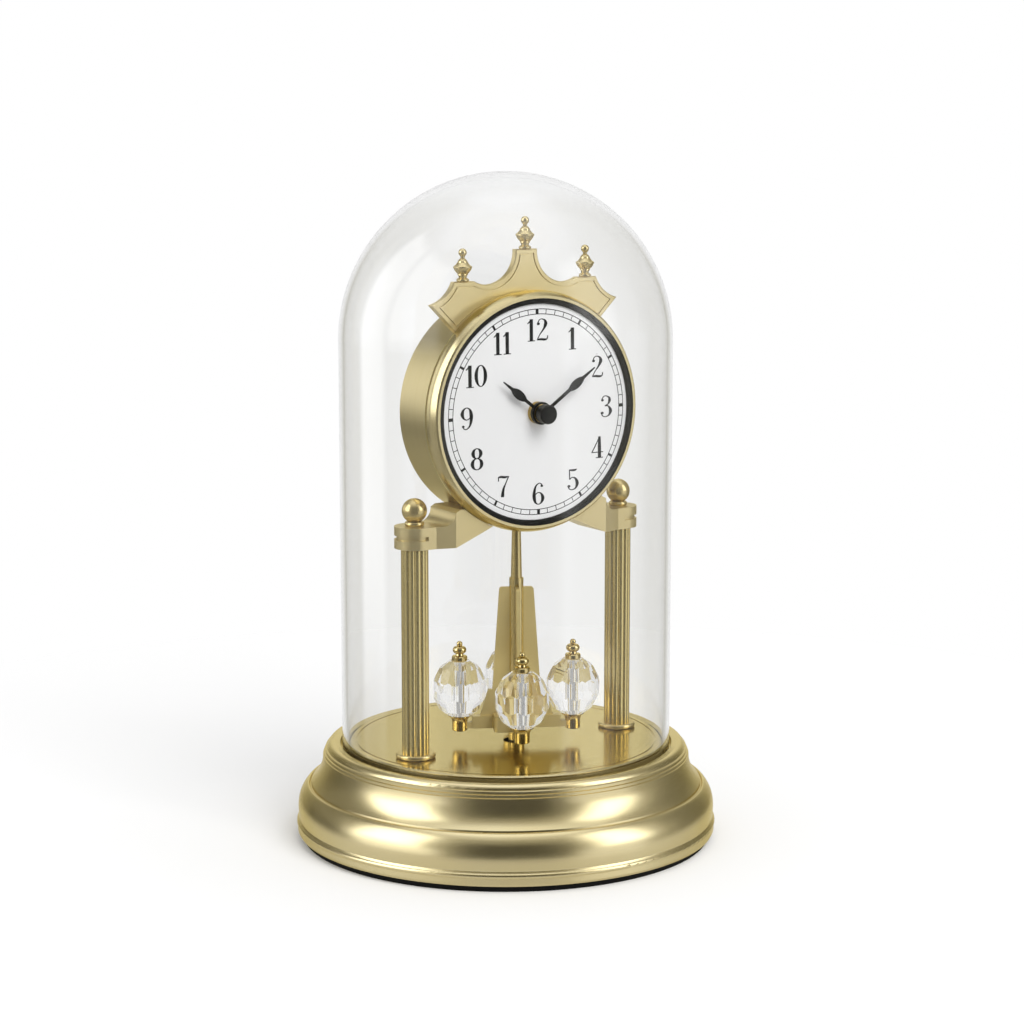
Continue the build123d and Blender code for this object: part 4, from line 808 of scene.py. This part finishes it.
# %% Pen
PRINT_THICK = 0.03 * MM
PRINT_GAP = 0.005 * MM
PRINT_TURN = np.radians(0.6)
PRINT_CENTRE = (0.25 * MM, 0.0)
PEN_STEPS = 10
DOT_START = 0.06
DOT_STEPS = 13
DIAL_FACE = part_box("dial")[0][1]


def smooth_curve(rows, closed=False):
    """A cubic curve through rows of numbers. Between b and c, with a before them and d after:
    2p = 2b + (c - a)t + (2a - 5b + 4c - d)t^2 + (3b - a - 3c + d)t^3."""
    rows = np.asarray(rows, float)
    if closed:
        padded = np.concatenate([rows[-1:], rows, rows[:2]])
    else:
        padded = np.concatenate([2 * rows[:1] - rows[1:2], rows, 2 * rows[-1:] - rows[-2:-1]])
    a, b, c, d = (padded[i:len(padded) - 3 + i, None, :] for i in range(4))
    t = (np.arange(PEN_STEPS) / PEN_STEPS)[None, :, None]
    square, cube = 2 * a - 5 * b + 4 * c - d, 3 * b - a - 3 * c + d
    curve = 0.5 * (2 * b + (c - a) * t + square * t**2 + cube * t**3)
    curve = curve.reshape(-1, rows.shape[1])
    return curve if closed else np.concatenate([curve, rows[-1:]])


def pen_edges(points, widths, closed=False):
    """Edges of a stroke: half the width to both sides of a smooth curve, across its direction."""
    curve = smooth_curve(np.column_stack([points, widths]), closed)
    line, width = curve[:, :2], curve[:, 2:]
    if closed:
        along = np.roll(line, -1, axis=0) - np.roll(line, 1, axis=0)
    else:
        along = np.gradient(line, axis=0)
    along = along / np.linalg.norm(along, axis=1, keepdims=True)
    across = np.stack([-along[:, 1], along[:, 0]], axis=-1)
    return line + across * width / 2, line - across * width / 2


def dot_edges(x, y, radius):
    """A round dot as a stroke: along its diameter the half width is r sin a."""
    a = np.linspace(DOT_START, np.pi - DOT_START, DOT_STEPS)
    middle = np.stack([x - radius * np.cos(a), np.full(len(a), y)], axis=-1)
    half = np.stack([np.zeros(len(a)), radius * np.sin(a)], axis=-1)
    return middle + half, middle - half


def clock_direction(share):
    """Unit vector of a hand that has gone a share of its turn: (sin 2 pi s, cos 2 pi s)."""
    return np.stack([np.sin(2 * np.pi * share), np.cos(2 * np.pi * share)], axis=-1)


def ring_stroke(radius, width, steps, middle=(0.0, 0.0)):
    """A circle as a closed stroke, with its edges half the width outside and inside the radius."""
    out = clock_direction(np.arange(steps) / steps)
    return out * (radius + width / 2) + middle, out * (radius - width / 2) + middle, True


def line_solid(left, right, closed, near, far):
    """A solid between two edges in the dial's plane, from depth near to far; each row of its grid
    holds the four corners of a cross-section."""
    corners = [np.stack([DIAL_CENTRE[0] + edge[:, 0], np.full(len(edge), y),
                         DIAL_CENTRE[2] + edge[:, 1]], axis=-1)
               for edge, y in zip((left, right, right, left), (near, near, far, far))]
    points = np.stack(corners, axis=1).reshape(-1, 3)
    faces = grid_faces(len(left), 4, loop=closed).tolist()
    if not closed:
        last = len(points) - 4
        faces += [[3, 2, 1, 0], [last, last + 1, last + 2, last + 3]]
    return points, faces


def strokes_piece(name, strokes, near, far):
    """One object from many strokes, all at the same depth."""
    piece = joined_piece(name, [line_solid(*stroke, near, far) for stroke in strokes])
    turn_outwards(piece)
    return piece


print("pen steps between points:", PEN_STEPS)

# %% Digits
# Each digit has a height of 1 and stands on 0: (advance, strokes, dots). A stroke is (points,
# widths) or a ("loop", middle, half size), and a dot is (x, y, radius).
THIN = 0.042
FAT = 0.130
LOOP_POINTS = 16
DIGITS = {
    "0": (0.50, [("loop", (0.25, 0.5), (0.175, 0.475))], []),
    "1": (0.36, [([(0.20, 0.02), (0.20, 0.5), (0.20, 1.0)], [FAT, FAT, FAT]),
                 ([(0.05, 0.80), (0.12, 0.87), (0.18, 0.985)], [THIN, 0.05, THIN]),
                 ([(0.06, 0.015), (0.34, 0.015)], [THIN, THIN])], []),
    "2": (0.50, [([(0.09, 0.80), (0.15, 0.94), (0.25, 0.985), (0.37, 0.91), (0.40, 0.75),
                   (0.32, 0.53), (0.18, 0.30), (0.07, 0.06)],
                  [THIN, THIN, THIN, 0.08, FAT, 0.075, THIN, THIN]),
                 ([(0.06, 0.05), (0.20, 0.065), (0.34, 0.045), (0.44, 0.05)],
                  [0.05, 0.10, 0.10, 0.07]),
                 ([(0.44, 0.05), (0.47, 0.13), (0.475, 0.22)], [0.06, THIN, THIN])],
          [(0.115, 0.77, 0.06)]),
    "3": (0.50, [([(0.08, 0.82), (0.14, 0.95), (0.24, 0.985), (0.37, 0.90), (0.39, 0.76),
                   (0.33, 0.60), (0.20, 0.53)], [THIN, THIN, THIN, 0.08, 0.11, 0.06, THIN]),
                 ([(0.20, 0.53), (0.35, 0.49), (0.43, 0.29), (0.37, 0.09), (0.23, 0.015),
                   (0.11, 0.06), (0.06, 0.18)], [THIN, 0.06, FAT, 0.07, THIN, THIN, THIN])],
          [(0.105, 0.79, 0.055), (0.09, 0.20, 0.06)]),
    "4": (0.52, [([(0.35, 0.98), (0.20, 0.62), (0.04, 0.27)], [THIN, THIN, THIN]),
                 ([(0.03, 0.27), (0.50, 0.27)], [THIN, THIN]),
                 ([(0.35, 0.02), (0.35, 0.5), (0.35, 1.0)], [FAT, FAT, 0.10]),
                 ([(0.20, 0.015), (0.49, 0.015)], [THIN, THIN])], []),
    "5": (0.48, [([(0.12, 0.50), (0.115, 0.97)], [THIN, THIN]),
                 ([(0.11, 0.94), (0.22, 0.925), (0.34, 0.93), (0.41, 0.97)],
                  [0.06, 0.09, 0.09, 0.02]),
                 ([(0.12, 0.50), (0.22, 0.59), (0.35, 0.53), (0.42, 0.31), (0.36, 0.09),
                   (0.22, 0.015), (0.11, 0.06), (0.06, 0.17)],
                  [THIN, THIN, 0.08, FAT, 0.07, THIN, THIN, THIN])],
          [(0.09, 0.19, 0.06)]),
    "6": (0.50, [([(0.41, 0.85), (0.35, 0.96), (0.26, 0.98), (0.14, 0.84), (0.085, 0.56),
                   (0.085, 0.33), (0.13, 0.11), (0.25, 0.015), (0.37, 0.10), (0.42, 0.29),
                   (0.37, 0.48), (0.26, 0.56), (0.15, 0.50), (0.10, 0.40)],
                  [THIN, THIN, THIN, 0.07, 0.115, FAT, 0.08, THIN, 0.08, FAT, 0.08, THIN, THIN,
                   THIN])],
          [(0.385, 0.85, 0.052)]),
    "7": (0.48, [([(0.06, 0.94), (0.16, 0.955), (0.30, 0.925), (0.44, 0.945)],
                  [0.06, 0.10, 0.10, 0.05]),
                 ([(0.055, 0.76), (0.06, 0.97)], [THIN, THIN]),
                 ([(0.45, 0.96), (0.34, 0.66), (0.24, 0.36), (0.20, 0.02)],
                  [THIN, 0.045, 0.09, FAT])], []),
    "8": (0.50, [("loop", (0.25, 0.755), (0.145, 0.225)),
                 ("loop", (0.25, 0.275), (0.175, 0.255))], []),
}


def pen_loop(middle, half):
    """An oval stroke (x + h cos a, y + v sin a) of width thin + (fat - thin) cos^2 a."""
    turn = full_turn(LOOP_POINTS)
    points = np.stack([np.cos(turn), np.sin(turn)], axis=-1) * half + middle
    return (*pen_edges(points, THIN + (FAT - THIN) * np.cos(turn) ** 2, closed=True), True)


def digit_strokes(digit):
    """Edges of one digit's strokes, and its advance; a 9 is a 6 turned by half a turn."""
    if digit == "9":
        strokes, advance = digit_strokes("6")
        top = np.array([advance, 1.0])
        return [(top - left, top - right, closed) for left, right, closed in strokes], advance
    advance, lines, dots = DIGITS[digit]
    strokes = [pen_loop(*line[1:]) if line[0] == "loop" else (*pen_edges(*line), False)
               for line in lines]
    strokes += [(*dot_edges(*dot), False) for dot in dots]
    return strokes, advance


print("digits drawn:", len(DIGITS) + 1)

# %% Numerals and minute track
NUMERAL_HEIGHT = 7.5 * MM
NUMERAL_STRETCH = 1.38
NUMERAL_RADIUS = 28.2 * MM
TRACK_RADII = (35.3 * MM, 33.6 * MM)
TRACK_LINE = 0.26 * MM
TRACK_STEPS = 240
BAR_WIDTHS = (0.26 * MM, 0.85 * MM, 1.15 * MM)


def numeral(text, middle):
    """Strokes of a number centred on a point of the dial, its digits side by side."""
    placed, pen_x = [], 0.0
    for digit in text:
        strokes, advance = digit_strokes(digit)
        for left, right, closed in strokes:
            placed.append((left + (pen_x, 0), right + (pen_x, 0), closed))
        pen_x += advance
    shift = np.array([-pen_x / 2, -0.5])
    scale = np.array([NUMERAL_STRETCH, 1.0]) * NUMERAL_HEIGHT
    return [((left + shift) * scale + middle, (right + shift) * scale + middle, closed)
            for left, right, closed in placed]


strokes = [ring_stroke(radius, TRACK_LINE, TRACK_STEPS) for radius in TRACK_RADII]
for minute in range(60):
    out = clock_direction(minute / 60)
    beside = np.array([-out[1], out[0]])
    width = BAR_WIDTHS[(minute % 5 == 0) + (minute % 15 == 0)]
    ends = np.outer(TRACK_RADII[::-1], out)
    strokes.append((ends + beside * width / 2, ends - beside * width / 2, False))
for hour in range(1, 13):
    strokes += numeral(str(hour), clock_direction(hour / 12) * NUMERAL_RADIUS)

turn = turning(PRINT_TURN)
strokes = [(left @ turn + PRINT_CENTRE, right @ turn + PRINT_CENTRE, closed)
           for left, right, closed in strokes]
dial_print = strokes_piece("dial_print", strokes, DIAL_FACE - PRINT_THICK, DIAL_FACE - PRINT_GAP)
print_black = matt("print_black", (0.012, 0.012, 0.013), 0.5, 900, 0.05, 0.3)
dial_print.data.materials.append(print_black.material)
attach(dial_print, "base")
print("strokes on the dial:", len(strokes), "faces:", len(dial_print.data.polygons))

# %% [markdown]
# ## Small turned rings
# A brass washer lies on the hour hand's hub, and a matt brown ring lines the groove that the dome
# stands in; its brown is painted shade, the shadowed tone of the groove. Both are a closed profile
# turned round an axis: one parameter runs round the profile and the other round the axis.

# %% Turned rings
RING_STEPS = 96
RING_SHARP = 35.0
WASHER_BORE = 1.3 * MM
WASHER_FLAT = 3.0 * MM
WASHER_EDGE = 3.15 * MM
WASHER_THICK = 0.12 * MM
LINING_INNER = 55.48 * MM
LINING_CREST = 55.62 * MM
LINING_OUTER = 55.85 * MM
LINING_LOW = 0.05 * MM
LINING_SHOULDER = 2.0 * MM
LINING_HIGH = 2.1 * MM


def turned_ring(name, profile, centre, axis="Z", steps=RING_STEPS):
    """Points (r, h) of a closed profile, turned round Z as (r cos a, r sin a, h) or round Y as
    (r cos a, h, r sin a)."""
    profile = np.asarray(profile, float)
    angles = full_turn(steps)
    first = np.outer(profile[:, 0], np.cos(angles))
    second = np.outer(profile[:, 0], np.sin(angles))
    along = np.repeat(profile[:, 1:], len(angles), axis=1)
    order = (first, second, along) if axis == "Z" else (first, along, second)
    points = np.stack(order, axis=-1).reshape(-1, 3) + centre
    piece = mesh_piece(name, points, grid_faces(len(profile), len(angles), loop=True))
    turn_outwards(piece)
    return smooth_within(piece, RING_SHARP)


hub_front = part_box("hour_hand")[0][1]
washer_profile = [(WASHER_BORE, 0.0), (WASHER_BORE, -WASHER_THICK), (WASHER_FLAT, -WASHER_THICK),
                  (WASHER_EDGE, -WASHER_THICK / 2), (WASHER_EDGE, 0.0)]
washer = turned_ring("hub_washer", washer_profile, (DIAL_CENTRE[0], hub_front, DIAL_CENTRE[2]), "Y")
washer.data.materials.append(movement_brass.material)
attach(washer, "hour_hand")

groove_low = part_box("glass_dome")[0][2]
lining_profile = [(LINING_INNER, LINING_LOW), (LINING_INNER, LINING_SHOULDER),
                  (LINING_CREST, LINING_HIGH), (LINING_OUTER, LINING_SHOULDER),
                  (LINING_OUTER, LINING_LOW)]
lining = turned_ring("groove_lining", lining_profile, (0.0, 0.0, groove_low))
# Painted shade: the ring's matt brown, lit evenly by the fill, stands for the shadow in the groove.
felt_brown = matt("felt_brown", (0.20, 0.15, 0.055), 0.9, 1500, 0.04, 0.1)
felt_brown.bump(felt_brown.noise(3000, 3.0), GROOVE_RING_BUMP)
lining.data.materials.append(felt_brown.material)
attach(lining, "base")
print("turned rings:", washer.name, lining.name)

# %% [markdown]
# ## The base's full moulding
# The lower moulding of the base is a full round that rolls from a shoulder under the step down to
# an upright face, and the way the room's dark and its ceiling lie on it shows where it turns. The
# solid has the same moulding as one shallow arc. A band of the same metal lies over it, turned from
# a smooth curve through points that were read off the real outline.

# %% Lower moulding
MOULDING_FACE = [(73.50, 6.85), (73.60, 7.5), (73.74, 8.8), (73.86, 10.4), (73.84, 12.0),
                 (73.60, 13.8), (73.06, 15.6), (72.22, 17.2), (71.30, 18.45), (70.62, 19.08),
                 (70.22, 19.28), (69.96, 19.22), (69.84, 19.02), (69.80, 18.70)]
MOULDING_BACK = [(70.4, 16.5), (71.8, 11.0), (72.3, 7.2)]
MOULDING_STEPS = 192
face = smooth_curve(MOULDING_FACE)[::2]
moulding_profile = np.concatenate([face, MOULDING_BACK]) * MM
moulding = turned_ring("lower_moulding", moulding_profile, CLOCK_AXIS, steps=MOULDING_STEPS)
moulding.data.materials.append(base_gold.material)
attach(moulding, "base")
print("moulding points:", len(moulding.data.vertices))

# %% [markdown]
# ## Relief on the movement
# The back of a quartz movement is a plain moulded box with a raised frame, a collar round the set
# knob and four round welding studs. They are strokes of the same pen, only higher.

# %% Movement relief
RELIEF_HIGH = 0.5 * MM
RELIEF_SUNK = 0.1 * MM
RELIEF_BEVEL = 0.12 * MM
RELIEF_SHARP = 30.0
FRAME_HALF = 21.5 * MM
FRAME_LOW = -7.2 * MM
FRAME_TOP = 20.6 * MM
FRAME_ROUND = 3.0 * MM
CORNER_POINTS = 7
COLLAR_RADIUS = 6.0 * MM
COLLAR_STEPS = 48
STUD_RADIUS = 1.1 * MM
LINE_WIDE = 0.9 * MM

housing_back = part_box("movement_housing")[1][1]
knob_at = np.array(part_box("set_knob")).mean(axis=0)[[0, 2]] - (DIAL_CENTRE[0], DIAL_CENTRE[2])


def frame_line(half, low, top, rounding, width):
    """A rectangle with rounded corners as a closed stroke: each corner is a quarter of a circle."""
    quarter = np.linspace(0, np.pi / 2, CORNER_POINTS)
    edges = []
    for offset in (width / 2, -width / 2):
        loops = []
        for turn, (x, y) in enumerate(((half, top), (-half, top), (-half, low), (half, low))):
            inner = (x - np.sign(x) * rounding, y - rounding if turn < 2 else y + rounding)
            angle = quarter + turn * np.pi / 2
            out = np.stack([np.cos(angle), np.sin(angle)], axis=-1)
            loops.append(out * (rounding + offset) + inner)
        edges.append(np.concatenate(loops))
    return edges[0], edges[1], True


relief = [frame_line(FRAME_HALF, FRAME_LOW, FRAME_TOP, FRAME_ROUND, LINE_WIDE),
          ring_stroke(COLLAR_RADIUS, LINE_WIDE, COLLAR_STEPS, knob_at)]
for x in (-FRAME_HALF + FRAME_ROUND, FRAME_HALF - FRAME_ROUND):
    for y in (FRAME_LOW + FRAME_ROUND, FRAME_TOP - FRAME_ROUND):
        relief.append((*dot_edges(x, y, STUD_RADIUS), False))
relief_depths = (housing_back - RELIEF_SUNK, housing_back + RELIEF_HIGH)
movement_relief = strokes_piece("movement_relief", relief, *relief_depths)
smooth_within(movement_relief, RELIEF_SHARP)
bevel = movement_relief.modifiers.new("rounded edges", "BEVEL")
bevel.width = RELIEF_BEVEL
bevel.segments = 2
movement_relief.data.materials.append(plastic_black.material)
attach(movement_relief, "base")
knob_grey = matt("knob_grey", (0.055, 0.055, 0.058), 0.4, 1200, 0.05)
dress(knob_grey, "set_knob")
print("relief lines:", len(relief))
